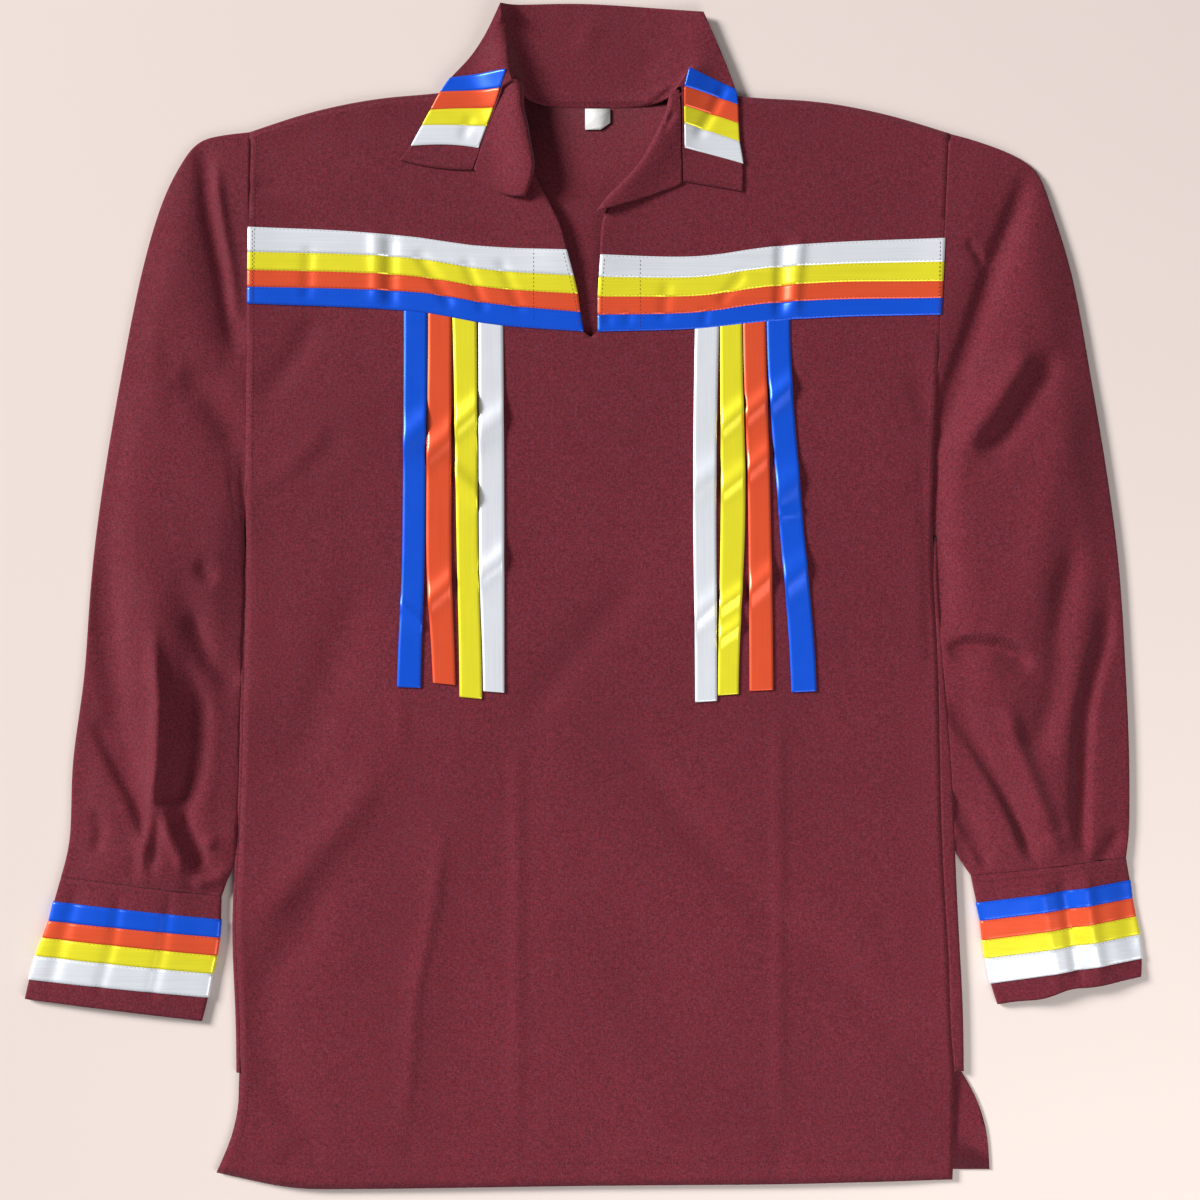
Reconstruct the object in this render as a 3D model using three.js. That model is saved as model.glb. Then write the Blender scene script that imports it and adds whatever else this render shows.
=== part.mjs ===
// A ribbon shirt lying on its back, with its collar spread open and its sleeves at its sides.
// Millimetres: X runs across the chest, Y from hem to neck, Z up from the table.
// Left and right are the wearer's, so the right side lies at -X.

import * as THREE from 'three';

// Cloth
const WALL = 1.2;
const RIBBON_WALL = 1.0;
const SEAM_GAP = 0.4;
const LAYER_GAP = 0.35;

// Where the back turns over to meet the front at a side or shoulder
const TURN_RADIUS = 2.2;
const TURN_STEPS = 4;
const TURN_DEPTH = 3;
const EDGE_TOP = 2 * TURN_RADIUS;

// The front rests on the back, and rises to the turned edge within this distance
const REST_TOP = WALL + LAYER_GAP + WALL;
const EDGE_SOFTNESS = 14;

// Height that the loose cloth keeps above its edges
const BODY_PUFF = 2.5;
const PUFF_DISTANCE = 28;
const TUBE_PUFF_DISTANCE = 22.4;
const NECK_RISE = { height: 3, width: 20, fromY: 240 };

// The collar and facings roll higher than the neckline that they are sewn to
const COLLAR_ROLL = { right: 10, left: 3.5, outerWidth: 15, innerWidth: 6 };

const ROLL_END = {
  right: [{ x: -54.4, y: 391 }, { x: -59.5, y: 423 }],
  left: [{ x: 75.8, y: 377 }, { x: 86, y: 418 }],
};

const COLOURS = {
  maroon: 0x6e2433,
  white: 0xf2efe8,
  yellow: 0xffdf10,
  red: 0xe8401f,
  blue: 0x1f50c8,
};

// The line down the front's middle, below the neck slit
const CENTRE_X = 5;

// The armhole seams are straight, from shoulder to underarm
const ARMHOLE = {
  right: { shoulderX: -240, shoulderY: 333, underarmX: -243, underarmY: 77 },
  left: { shoulderX: 263, shoulderY: 332, underarmX: 251, underarmY: 83 },
};

// The front's edges below the armholes: side seam, then free beside the side slit
const FRONT_EDGE = {
  right: [
    { y: -415, x: -264 },
    { y: -407, x: -260 },
    { y: -378, x: -249 },
    { y: -349, x: -246.5 },
    { y: -312, x: -246.5 },
    { y: -243, x: -249.5 },
    { y: -186, x: -247.5 },
    { y: -112, x: -244.5 },
    { y: -32, x: -243.5 },
    { y: 25, x: -242 },
    { y: 77, x: -243 },
  ],
  left: [
    { y: -420, x: 265 },
    { y: -378, x: 266 },
    { y: -342, x: 266 },
    { y: -312, x: 263 },
    { y: -263, x: 262 },
    { y: -220, x: 259 },
    { y: -148, x: 256 },
    { y: -90, x: 255 },
    { y: -32, x: 253.5 },
    { y: 25, x: 250.5 },
    { y: 83, x: 251 },
  ],
};

// The back's outermost edges, which wrap round to the front on the left side
const BACK_EDGE = {
  right: [
    { y: -413, x: -250 },
    { y: -343, x: -250 },
    { y: -312, x: -250.2 },
    { y: -243, x: -253 },
    { y: -186, x: -251 },
    { y: -112, x: -248 },
    { y: -32, x: -247 },
    { y: 25, x: -245.2 },
    { y: 77, x: -246 },
  ],
  left: [
    { y: -413, x: 292 },
    { y: -392, x: 291 },
    { y: -377, x: 288 },
    { y: -360, x: 282 },
    { y: -342, x: 273.5 },
    { y: -301, x: 273 },
    { y: -263, x: 271 },
    { y: -205, x: 268 },
    { y: -128, x: 265 },
    { y: -76, x: 261 },
    { y: -32, x: 257.5 },
    { y: 25, x: 254 },
    { y: 83, x: 254 },
  ],
};

// The sides are turned over between the side slit and the underarm
const SIDE_TURN = { slitTop: { right: -343, left: -342 }, underarm: { right: 50, left: 42.75 } };

// The front's inner edges: one line below the neck slit, then slit, then the rolled neckline
const FRONT_CENTRE = {
  right: [
    { y: -424, x: CENTRE_X },
    { y: 185, x: CENTRE_X },
    { y: 189, x: 0 },
    { y: 216, x: -4 },
    { y: 247, x: -12 },
    { y: 266, x: -16 },
    { y: 287, x: -28 },
    { y: 306, x: -38 },
    { y: 330, x: -43 },
    { y: 359, x: -47 },
    { y: 371, x: -54 },
  ],
  left: [
    { y: -424, x: CENTRE_X },
    { y: 185, x: CENTRE_X },
    { y: 189, x: 10 },
    { y: 215, x: 10 },
    { y: 244, x: 12 },
    { y: 277, x: 12 },
    { y: 288, x: 22 },
    { y: 304, x: 38 },
    { y: 320, x: 50 },
    { y: 338, x: 58 },
    { y: 364, x: 69 },
  ],
};

// Lines across each half of the front, from side edge to centre. The ribbons' edges are lines.
const FRONT_LINES = {
  right: [
    { name: 'hem', steps: 0, edge: -415, quarter: -426.5, half: -426, threeQuarter: -425, centre: -424 },
    { name: 'slitBottom', steps: 24, edge: 205, quarter: 203, half: 199.5, threeQuarter: 189.5, centre: 185 },
    { name: 'blueBottom', steps: 1, edge: 209, quarter: 207, half: 203.5, threeQuarter: 193.5, centre: 189 },
    { name: 'redBottom', steps: 1, edge: 221, quarter: 220, half: 217.5, threeQuarter: 208.5, centre: 203 },
    { name: 'yellowBottom', steps: 1, edge: 233, quarter: 232, half: 229, threeQuarter: 220, centre: 216 },
    { name: 'whiteBottom', steps: 1, edge: 246, quarter: 245, half: 242, threeQuarter: 233, centre: 229 },
    { name: 'whiteTop', steps: 1, edge: 264, quarter: 262, half: 257.5, threeQuarter: 250, centre: 247.5 },
    { name: 'shoulder', steps: 6, edge: 333, quarter: 348, half: 357, threeQuarter: 361.5, centre: 371 },
  ],
  left: [
    { name: 'hem', steps: 0, edge: -420, quarter: -421.5, half: -423, threeQuarter: -423.5, centre: -424 },
    { name: 'slitBottom', steps: 24, edge: 197, quarter: 196, half: 192.5, threeQuarter: 186.5, centre: 185 },
    { name: 'blueBottom', steps: 1, edge: 201, quarter: 200, half: 196.5, threeQuarter: 190.5, centre: 189 },
    { name: 'redBottom', steps: 1, edge: 213, quarter: 212.5, half: 209.5, threeQuarter: 202, centre: 201 },
    { name: 'yellowBottom', steps: 1, edge: 225, quarter: 225, half: 221.5, threeQuarter: 214, centre: 214 },
    { name: 'whiteBottom', steps: 1, edge: 239, quarter: 238, half: 235, threeQuarter: 227.5, centre: 228 },
    { name: 'whiteTop', steps: 1, edge: 256, quarter: 254, half: 250, threeQuarter: 242.5, centre: 244 },
    { name: 'shoulder', steps: 6, edge: 332, quarter: 346.5, half: 355, threeQuarter: 358, centre: 364 },
  ],
};

// Lines down each half of the front, at five heights. The hanging ribbons lie between them.
const RIBBON_ORDER = ['blue', 'red', 'yellow', 'white'];
const DOWN_LINES = ['blueOuter', 'blueInner', 'redOuter', 'redInner',
  'yellowOuter', 'yellowInner', 'whiteOuter', 'whiteInner'];
const HANGING = {
  right: [
    { y: -424, blueOuter: -136, blueInner: -119, redOuter: -108, redInner: -92,
      yellowOuter: -89, yellowInner: -73, whiteOuter: -72, whiteInner: -57 },
    { y: -70, blueOuter: -134, blueInner: -117, redOuter: -108, redInner: -92,
      yellowOuter: -89, yellowInner: -73, whiteOuter: -72, whiteInner: -57 },
    { y: 32, blueOuter: -130, blueInner: -114, redOuter: -113, redInner: -95,
      yellowOuter: -91, yellowInner: -75.7, whiteOuter: -75, whiteInner: -57 },
    { y: 200, blueOuter: -129, blueInner: -112.4, redOuter: -111.6, redInner: -95,
      yellowOuter: -94.2, yellowInner: -77, whiteOuter: -75.5, whiteInner: -58 },
    { y: 365, blueOuter: -150, blueInner: -136, redOuter: -134, redInner: -120,
      yellowOuter: -118, yellowInner: -104, whiteOuter: -102, whiteInner: -88 },
  ],
  left: [
    { y: -424, blueOuter: 170, blueInner: 152, redOuter: 137, redInner: 120,
      yellowOuter: 112, yellowInner: 96.6, whiteOuter: 95.8, whiteInner: 80 },
    { y: -70, blueOuter: 167, blueInner: 149, redOuter: 136, redInner: 119,
      yellowOuter: 111, yellowInner: 96.4, whiteOuter: 95.6, whiteInner: 80 },
    { y: 68, blueOuter: 156, blueInner: 139, redOuter: 134, redInner: 118,
      yellowOuter: 116, yellowInner: 98.4, whiteOuter: 95, whiteInner: 78.5 },
    { y: 194, blueOuter: 148, blueInner: 131.4, redOuter: 130.6, redInner: 114.4,
      yellowOuter: 113.6, yellowInner: 98, whiteOuter: 97.2, whiteInner: 80 },
    { y: 365, blueOuter: 160, blueInner: 148, redOuter: 146, redInner: 134,
      yellowOuter: 132, yellowInner: 120, whiteOuter: 118, whiteInner: 106 },
  ],
};
const HANGING_END_Y = {
  right: { blue: -66, red: -63, yellow: -73, white: -69 },
  left: { blue: -69, red: -68, yellow: -71, white: -76 },
};
const SIDE_CELLS = 6;
const CENTRE_CELLS = 4;

// The shoulder line from the right armhole to the left one, and the back's neckline between
const SHOULDER = [
  { x: -240, y: 333 },
  { x: -193, y: 348 },
  { x: -147, y: 357 },
  { x: -100, y: 361.5 },
  { x: -54, y: 371 },
  { x: 69, y: 364 },
  { x: 118, y: 358 },
  { x: 166, y: 355 },
  { x: 214, y: 346.5 },
  { x: 263, y: 332 },
];
const BACK_NECKLINE = [
  { x: -46, y: 361 },
  { x: -30, y: 354.5 },
  { x: 5, y: 353.5 },
  { x: 44, y: 353.5 },
  { x: 60, y: 356.5 },
];

// Sleeve sections from armhole to cuff: each runs from the outer edge to the edge by the body
const SLEEVE = {
  right: [
    { outerX: -240.4, outerY: 333, innerX: -243.4, innerY: 77, puff: 2.5 },
    { outerX: -274, outerY: 328, innerX: -243, innerY: 66, puff: 4 },
    { outerX: -290, outerY: 309, innerX: -243, innerY: 54, puff: 5 },
    { outerX: -304, outerY: 280, innerX: -244, innerY: 38, puff: 6 },
    { outerX: -319, outerY: 227, innerX: -245, innerY: 12, puff: 6 },
    { outerX: -333, outerY: 155, innerX: -246, innerY: -26, puff: 6 },
    { outerX: -346, outerY: 78, innerX: -247, innerY: -64, puff: 7 },
    { outerX: -355, outerY: 5, innerX: -247, innerY: -104, puff: 7 },
    { outerX: -359, outerY: -60, innerX: -249, innerY: -140, puff: 8 },
    { outerX: -368, outerY: -122, innerX: -250, innerY: -172, puff: 9 },
    { outerX: -369, outerY: -172, innerX: -254, innerY: -199, puff: 7 },
    { outerX: -376, outerY: -202.6, innerX: -260, innerY: -216.6, puff: 3 },
  ],
  left: [
    { outerX: 263.4, outerY: 332, innerX: 251.4, innerY: 83, puff: 2.5 },
    { outerX: 290, outerY: 324, innerX: 251, innerY: 72, puff: 4 },
    { outerX: 325, outerY: 307, innerX: 251, innerY: 59, puff: 5.5 },
    { outerX: 337, outerY: 276, innerX: 252, innerY: 42, puff: 7 },
    { outerX: 352, outerY: 227, innerX: 254, innerY: 12, puff: 7.5 },
    { outerX: 364, outerY: 160, innerX: 256, innerY: -26, puff: 7.5 },
    { outerX: 377, outerY: 83, innerX: 259, innerY: -64, puff: 8 },
    { outerX: 386, outerY: 10, innerX: 262, innerY: -104, puff: 8 },
    { outerX: 390, outerY: -60, innerX: 264, innerY: -138, puff: 8.5 },
    { outerX: 392.5, outerY: -122, innerX: 266, innerY: -166, puff: 8.5 },
    { outerX: 392.5, outerY: -165, innerX: 269, innerY: -187, puff: 8.5 },
    { outerX: 390, outerY: -188.6, innerX: 278, innerY: -201.6, puff: 6 },
  ],
};
const SLEEVE_STEPS_PER_SECTION = 2;
const SLEEVE_CLEAR = 0.35;
const SLEEVE_TOP_CELLS = 12;
const TUBE_BOTTOM_CELLS = 2;

// Cuff sections from the sleeve seam to the free edge, and the ribbon that each one ends
const CUFF = {
  right: [
    { name: 'seam', outerX: -376, outerY: -203, innerX: -260, innerY: -217, puff: 3 },
    { name: 'blueTop', outerX: -381, outerY: -220, innerX: -260.5, innerY: -233, puff: 3 },
    { name: 'redTop', outerX: -384.5, outerY: -234, innerX: -261.5, innerY: -246, puff: 3 },
    { name: 'yellowTop', outerX: -389, outerY: -246, innerX: -263.5, innerY: -259, puff: 3 },
    { name: 'whiteTop', outerX: -394, outerY: -259, innerX: -266.5, innerY: -272, puff: 3 },
    { name: 'whiteBottom', outerX: -399, outerY: -276, innerX: -269.5, innerY: -289, puff: 2.5 },
    { name: 'edge', outerX: -402, outerY: -290, innerX: -274, innerY: -306, puff: 2 },
  ],
  left: [
    { name: 'seam', outerX: 390, outerY: -189, innerX: 278, innerY: -202, puff: 6 },
    { name: 'blueTop', outerX: 393, outerY: -205, innerX: 282, innerY: -221, puff: 5.5 },
    { name: 'redTop', outerX: 394.5, outerY: -218, innerX: 285, innerY: -234, puff: 5.5 },
    { name: 'yellowTop', outerX: 397, outerY: -231, innerX: 286.5, innerY: -248, puff: 5.5 },
    { name: 'whiteTop', outerX: 400, outerY: -244, innerX: 288.5, innerY: -261, puff: 5.5 },
    { name: 'whiteBottom', outerX: 402, outerY: -261, innerX: 292, innerY: -279, puff: 5 },
    { name: 'edge', outerX: 401, outerY: -274, innerX: 297, innerY: -294, puff: 4.5 },
  ],
};
const CUFF_TOP_CELLS = 9;

// Collar sections from the right point round the back to the left point. Each runs from the
// neck seam through a middle point to the free edge; over says how far it lies on the front.
const COLLAR = [
  { name: 'rightEnd', seamX: -80, seamY: 305, midX: -106, midY: 306.5, freeX: -132, freeY: 312, over: 1 },
  { name: 'rightWhiteEnd', seamX: -74.5, seamY: 320, midX: -98, midY: 323, freeX: -124, freeY: 322, over: 1 },
  { name: 'rightYellow', seamX: -68, seamY: 335.5, midX: -92, midY: 337, freeX: -116, freeY: 337, over: 1 },
  { name: 'rightRed', seamX: -63, seamY: 348.5, midX: -87, midY: 349, freeX: -110, freeY: 348, over: 1 },
  { name: 'rightBlue', seamX: -58, seamY: 362.4, midX: -81, midY: 361.5, freeX: -103, freeY: 361, over: 1 },
  { name: 'rightBlueEnd', seamX: -50.8, seamY: 366, midX: -76, midY: 373, freeX: -96, freeY: 371, over: 1 },
  { name: 'rightTurn', seamX: -49.4, seamY: 364.6, midX: -69, midY: 381.5, freeX: -82, freeY: 384, over: 0.9 },
  { name: 'rightRise', seamX: -47.8, seamY: 362.8, midX: -63, midY: 393, freeX: -70, freeY: 401, over: 0.6 },
  { name: 'rightCorner', seamX: -45, seamY: 359.8, midX: -57, midY: 407, freeX: -59.5, freeY: 423, over: 0.3 },
  { name: 'rightInner', seamX: -39, seamY: 355.5, midX: -48.6, midY: 406, freeX: -51.5, freeY: 424, over: 0.05 },
  { name: 'rightBack', seamX: -27, seamY: 351, midX: -31, midY: 388, freeX: -35, freeY: 424.8, over: 0 },
  { name: 'centreBack', seamX: 5, seamY: 350, midX: 3, midY: 388, freeX: 0, freeY: 426, over: 0 },
  { name: 'leftBack', seamX: 43, seamY: 350.4, midX: 50, midY: 387, freeX: 52, freeY: 422, over: 0 },
  { name: 'leftCorner', seamX: 61, seamY: 356, midX: 80, midY: 395, freeX: 86, freeY: 418.3, over: 0.3 },
  { name: 'leftRise', seamX: 64.6, seamY: 360.4, midX: 87, midY: 384, freeX: 98.1, freeY: 391, over: 0.7 },
  { name: 'leftBlueEnd', seamX: 67.6, seamY: 363.4, midX: 92.8, midY: 369.8, freeX: 109.6, freeY: 362.2,
    over: 1 },
  { name: 'leftBlue', seamX: 70.4, seamY: 363, midX: 91, midY: 358.4, freeX: 110.7, freeY: 351.7, over: 1 },
  { name: 'leftRed', seamX: 70.4, seamY: 350.2, midX: 91, midY: 345, freeX: 111.1, freeY: 338.4, over: 1 },
  { name: 'leftYellow', seamX: 70.6, seamY: 338, midX: 91.5, midY: 332, freeX: 111.8, freeY: 325.1, over: 1 },
  { name: 'leftWhiteEnd', seamX: 70.9, seamY: 320.5, midX: 93, midY: 315.2, freeX: 114.7, freeY: 309.2,
    over: 1 },
  { name: 'leftEnd', seamX: 71.4, seamY: 296.6, midX: 93, midY: 293.2, freeX: 113.9, freeY: 289.4, over: 1 },
];
const COLLAR_CELLS = 7;

// Where the collar rolls over, one cell out from the neck seam. The ribbons start there.
const COLLAR_TURN = {
  rightEnd: { x: -81, y: 305 },
  rightWhiteEnd: { x: -75.6, y: 320.4 },
  rightYellow: { x: -69.6, y: 336 },
  rightRed: { x: -64.6, y: 348.8 },
  rightBlue: { x: -59.6, y: 361.8 },
  rightBlueEnd: { x: -55, y: 374.4 },
  rightTurn: { x: -54.8, y: 378 },
  rightRise: { x: -54.6, y: 384 },
  rightCorner: { x: -54.4, y: 391 },
  rightInner: { x: -46.6, y: 388 },
  leftCorner: { x: 72, y: 373 },
  leftRise: { x: 74.4, y: 376 },
  leftBlueEnd: { x: 75.8, y: 376.9 },
  leftBlue: { x: 72, y: 363.4 },
  leftRed: { x: 72, y: 350 },
  leftYellow: { x: 72.2, y: 337.8 },
  leftWhiteEnd: { x: 72.5, y: 320.3 },
  leftEnd: { x: 73, y: 296.4 },
};
const NECK_LAP = 2.4;

// Facings turned out over the neckline: rows from the shoulder down, roll edge to collar seam
const FACING = {
  right: [
    { rollX: -49.8, rollY: 361, midX: -53.4, midY: 361, seamX: -57.2, seamY: 361 },
    { rollX: -47.6, rollY: 355, midX: -53.4, midY: 355.5, seamX: -59.6, seamY: 356.5 },
    { rollX: -42.4, rollY: 337, midX: -54, midY: 340, seamX: -65.6, seamY: 341 },
    { rollX: -39.6, rollY: 320, midX: -56, midY: 323, seamX: -72.6, seamY: 324 },
    { rollX: -37.2, rollY: 305, midX: -57, midY: 307, seamX: -75.8, seamY: 314.5 },
    { rollX: -44.5, rollY: 285, midX: -63, midY: 289.5, seamX: -78.8, seamY: 305.6 },
  ],
  left: [
    { rollX: 64.4, rollY: 356, midX: 66.8, midY: 356, seamX: 69.3, seamY: 356 },
    { rollX: 61.6, rollY: 347, midX: 65.6, midY: 347, seamX: 69.5, seamY: 347 },
    { rollX: 54, rollY: 330, midX: 61.8, midY: 331, seamX: 69.8, seamY: 332 },
    { rollX: 43, rollY: 310, midX: 57, midY: 316, seamX: 70, seamY: 318 },
    { rollX: 28, rollY: 293, midX: 50, midY: 300, seamX: 70.3, seamY: 307 },
    { rollX: 13, rollY: 275.5, midX: 42, midY: 284, seamX: 70.6, seamY: 295 },
  ],
};
const FACING_CELLS = 4;
const FACING_DROP = { depth: 5, reach: 2.6, endReach: 7, shortPart: 0.4 };
const DROP_SHAPE = [{ across: 1, down: 1 }, { across: 0.85, down: 0.36 }];

// The largest folds: a line through three points, with its half width and its height
const FOLDS = [
  { fromX: 10, fromY: -88, viaX: 76, viaY: -167, toX: 138, toY: -232, width: 14, height: -2 },
  { fromX: 138, fromY: -232, viaX: 196, viaY: -282, toX: 244, toY: -334, width: 13, height: -2.2 },
  { fromX: -146, fromY: -128, viaX: -196, viaY: -190, toX: -238, toY: -236, width: 15, height: 2.6 },
  { fromX: -176, fromY: -190, viaX: -206, viaY: -238, toX: -229, toY: -276, width: 14, height: -2 },
  { fromX: -229, fromY: -284, viaX: -222, viaY: -346, toX: -186, toY: -400, width: 14, height: -2 },
  { fromX: -158, fromY: 6, viaX: -178, viaY: -50, toX: -216, toY: -126, width: 22, height: -2 },
  { fromX: 42, fromY: 14, viaX: -2, viaY: -38, toX: -46, toY: -90, width: 16, height: -1.6 },
  { fromX: -100, fromY: -167, viaX: -116, viaY: -270, toX: -129, toY: -392, width: 12, height: 1.6 },
  { fromX: -236, fromY: 140, viaX: -212, viaY: 164, toX: -194, toY: 196, width: 12, height: -2.4 },
  { fromX: -240, fromY: 76, viaX: -212, viaY: 92, toX: -176, toY: 122, width: 10, height: 2 },
  { fromX: 232, fromY: 162, viaX: 243, viaY: 140, toX: 250, toY: 112, width: 10, height: -2.4 },
  { fromX: -276, fromY: 322, viaX: -266, viaY: 262, toX: -249, toY: 172, width: 12, height: -4 },
  { fromX: -300, fromY: 164, viaX: -268, viaY: 144, toX: -248, toY: 104, width: 18, height: -4 },
  { fromX: -348, fromY: 40, viaX: -341, viaY: -30, toX: -316, toY: -132, width: 13, height: -4 },
  { fromX: -307, fromY: -10, viaX: -302, viaY: -80, toX: -308, toY: -196, width: 15, height: 4 },
  { fromX: -358, fromY: -96, viaX: -335, viaY: -136, toX: -312, toY: -178, width: 9, height: -5 },
  { fromX: -281, fromY: -70, viaX: -282, viaY: -125, toX: -294, toY: -156, width: 11, height: -6 },
  { fromX: -298, fromY: -158, viaX: -284, viaY: -174, toX: -276, toY: -194, width: 10, height: -6 },
  { fromX: -283, fromY: -10, viaX: -274, viaY: -36, toX: -252, toY: -62, width: 11, height: -5 },
  { fromX: -290, fromY: -206, viaX: -272, viaY: -186, toX: -254, toY: -172, width: 8, height: 4 },
  { fromX: 321, fromY: 300, viaX: 296, viaY: 242, toX: 253, toY: 98, width: 12, height: -5 },
  { fromX: 321, fromY: 176, viaX: 295, viaY: 138, toX: 268, toY: 106, width: 12, height: 2.6 },
  { fromX: 342, fromY: 178, viaX: 313, viaY: 132, toX: 282, toY: 98, width: 14, height: -3 },
  { fromX: 268, fromY: -34, viaX: 298, viaY: -35, toX: 321, toY: -48, width: 10, height: -4 },
  { fromX: 355, fromY: 42, viaX: 340, viaY: -45, toX: 318, toY: -104, width: 13, height: -3 },
  { fromX: 377, fromY: -10, viaX: 360, viaY: -80, toX: 359, toY: -150, width: 10, height: -4 },
  { fromX: 268, fromY: -80, viaX: 284, viaY: -108, toX: 304, toY: -148, width: 10, height: -4.5 },
  { fromX: 267, fromY: -140, viaX: 273, viaY: -154, toX: 282, toY: -174, width: 8, height: -3 },
];

// The blank label under the back of the neck, with one corner worn away
const LABEL = { x: 1, topY: 349.6, width: 18, height: 15, wornWidth: 7, wornHeight: 5, thickness: 1 };

// Value of one column of a table at a place along another column, smooth and with no overshoot
function valueAt(table, along, column, place) {
  const last = table.length - 1;
  let cell = 0;
  while (cell < last - 1 && place > table[cell + 1][along]) cell += 1;
  const span = table[cell + 1][along] - table[cell][along];
  const t = THREE.MathUtils.clamp((place - table[cell][along]) / span, 0, 1);
  const secant = (k) => (table[k + 1][column] - table[k][column]) / (table[k + 1][along] - table[k][along]);
  const slope = (k) => {
    if (k === 0) return secant(0);
    if (k === last) return secant(last - 1);
    const [before, after] = [secant(k - 1), secant(k)];
    return before * after <= 0 ? 0 : 2 * before * after / (before + after);
  };
  const [start, end] = [table[cell][column], table[cell + 1][column]];
  return start * (1 + 2 * t) * (1 - t) ** 2 + end * t * t * (3 - 2 * t)
    + span * t * (1 - t) * (slope(cell) * (1 - t) - slope(cell + 1) * t);
}

const lerp = THREE.MathUtils.lerp;

function bump(distance, width) {
  return Math.exp(-((distance / width) ** 2));
}

function distanceToSegment(x, y, from, to) {
  const [dx, dy] = [to.x - from.x, to.y - from.y];
  const along = ((x - from.x) * dx + (y - from.y) * dy) / (dx * dx + dy * dy);
  const t = THREE.MathUtils.clamp(along, 0, 1);
  return Math.hypot(x - from.x - t * dx, y - from.y - t * dy);
}

function distanceToPath(x, y, path) {
  let nearest = Infinity;
  for (let k = 0; k < path.length - 1; k += 1) {
    nearest = Math.min(nearest, distanceToSegment(x, y, path[k], path[k + 1]));
  }
  return nearest;
}

function foldHeight(x, y) {
  let height = 0;
  for (const fold of FOLDS) {
    const path = [
      { x: fold.fromX, y: fold.fromY },
      { x: fold.viaX, y: fold.viaY },
      { x: fold.toX, y: fold.toY },
    ];
    height += fold.height * bump(distanceToPath(x, y, path), fold.width);
  }
  return height;
}

// A height that a trough can flatten but never push below the table side of the cloth
function softFloor(height) {
  return (height + Math.sqrt(height * height + 1)) / 2;
}

const SIDES = ['right', 'left'];
const sideOf = (x) => (x < CENTRE_X ? 'right' : 'left');
const outward = { right: -1, left: 1 };
const shoulderY = (x) => valueAt(SHOULDER, 'x', 'y', x);
const neckPath = (side) => FRONT_CENTRE[side].filter((row) => row.y > NECK_RISE.fromY);

// The back's outermost edge, with the flat corner that runs in to the underarm
function backEdgeX(side, y) {
  const { underarmX, underarmY } = ARMHOLE[side];
  const turnEnd = SIDE_TURN.underarm[side];
  const turned = valueAt(BACK_EDGE[side], 'y', 'x', Math.min(y, turnEnd));
  const t = THREE.MathUtils.clamp((y - turnEnd) / (underarmY - turnEnd), 0, 1);
  return lerp(turned, underarmX, t);
}

function frontEdgeX(side, y) {
  const { shoulderX, shoulderY: top, underarmX, underarmY } = ARMHOLE[side];
  if (y <= underarmY) return valueAt(FRONT_EDGE[side], 'y', 'x', y);
  return lerp(underarmX, shoulderX, (y - underarmY) / (top - underarmY));
}

// Loose height of the body's cloth over its edges, and of its rise toward the neckline
function bodyLift(x, y) {
  const side = sideOf(x);
  const underarm = ARMHOLE[side].underarmY;
  const fromSide = y < underarm
    ? Math.abs(x - frontEdgeX(side, y))
    : Math.hypot(x - frontEdgeX(side, underarm), y - underarm);
  const fromShoulder = Math.max(shoulderY(x) - y, 0);
  const clear = (1 - bump(fromSide, PUFF_DISTANCE)) * (1 - bump(fromShoulder, PUFF_DISTANCE));
  const neck = NECK_RISE.height * bump(distanceToPath(x, y, neckPath(side)), NECK_RISE.width);
  return softFloor(BODY_PUFF * clear + foldHeight(x, y)) + neck;
}

// Top of the front panel
function frontTop(x, y) {
  const side = sideOf(x);
  const fromSide = Math.abs(x - frontEdgeX(side, y));
  const belowSlit = Math.max(SIDE_TURN.slitTop[side] - y, 0);
  const sideSeam = bump(fromSide, EDGE_SOFTNESS) * bump(belowSlit, EDGE_SOFTNESS);
  const shoulder = bump(Math.max(shoulderY(x) - y, 0), EDGE_SOFTNESS);
  return lerp(REST_TOP, EDGE_TOP, Math.max(sideSeam, shoulder)) + bodyLift(x, y);
}

// Cloth as a closed wall: its outer points, and inner points one thickness behind them
function vertexNormals(points, faces) {
  const normals = points.map(() => new THREE.Vector3());
  const [ab, ac] = [new THREE.Vector3(), new THREE.Vector3()];
  for (const [a, b, c] of faces) {
    ab.subVectors(points[b], points[a]);
    ac.subVectors(points[c], points[a]);
    const area = ab.clone().cross(ac);
    for (const k of [a, b, c]) normals[k].add(area);
  }
  return normals.map((normal) => normal.normalize());
}

function wallMesh(name, colour, points, faces, thickness, normals = vertexNormals(points, faces)) {
  const count = points.length;
  const inner = points.map((point, k) => point.clone().addScaledVector(normals[k], -thickness));
  const edges = new Set(faces.flatMap(([a, b, c]) => [`${a} ${b}`, `${b} ${c}`, `${c} ${a}`]));
  const index = [];
  for (const [a, b, c] of faces) {
    index.push(a, b, c, c + count, b + count, a + count);
    for (const [p, q] of [[a, b], [b, c], [c, a]]) {
      if (!edges.has(`${q} ${p}`)) index.push(q, p, p + count, q, p + count, q + count);
    }
  }
  const geometry = new THREE.BufferGeometry().setFromPoints([...points, ...inner]);
  geometry.setIndex(index);
  geometry.computeVertexNormals();
  const material = new THREE.MeshStandardMaterial({ color: COLOURS[colour], roughness: 0.85, metalness: 0 });
  const mesh = new THREE.Mesh(geometry, material);
  mesh.name = name;
  return mesh;
}

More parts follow.
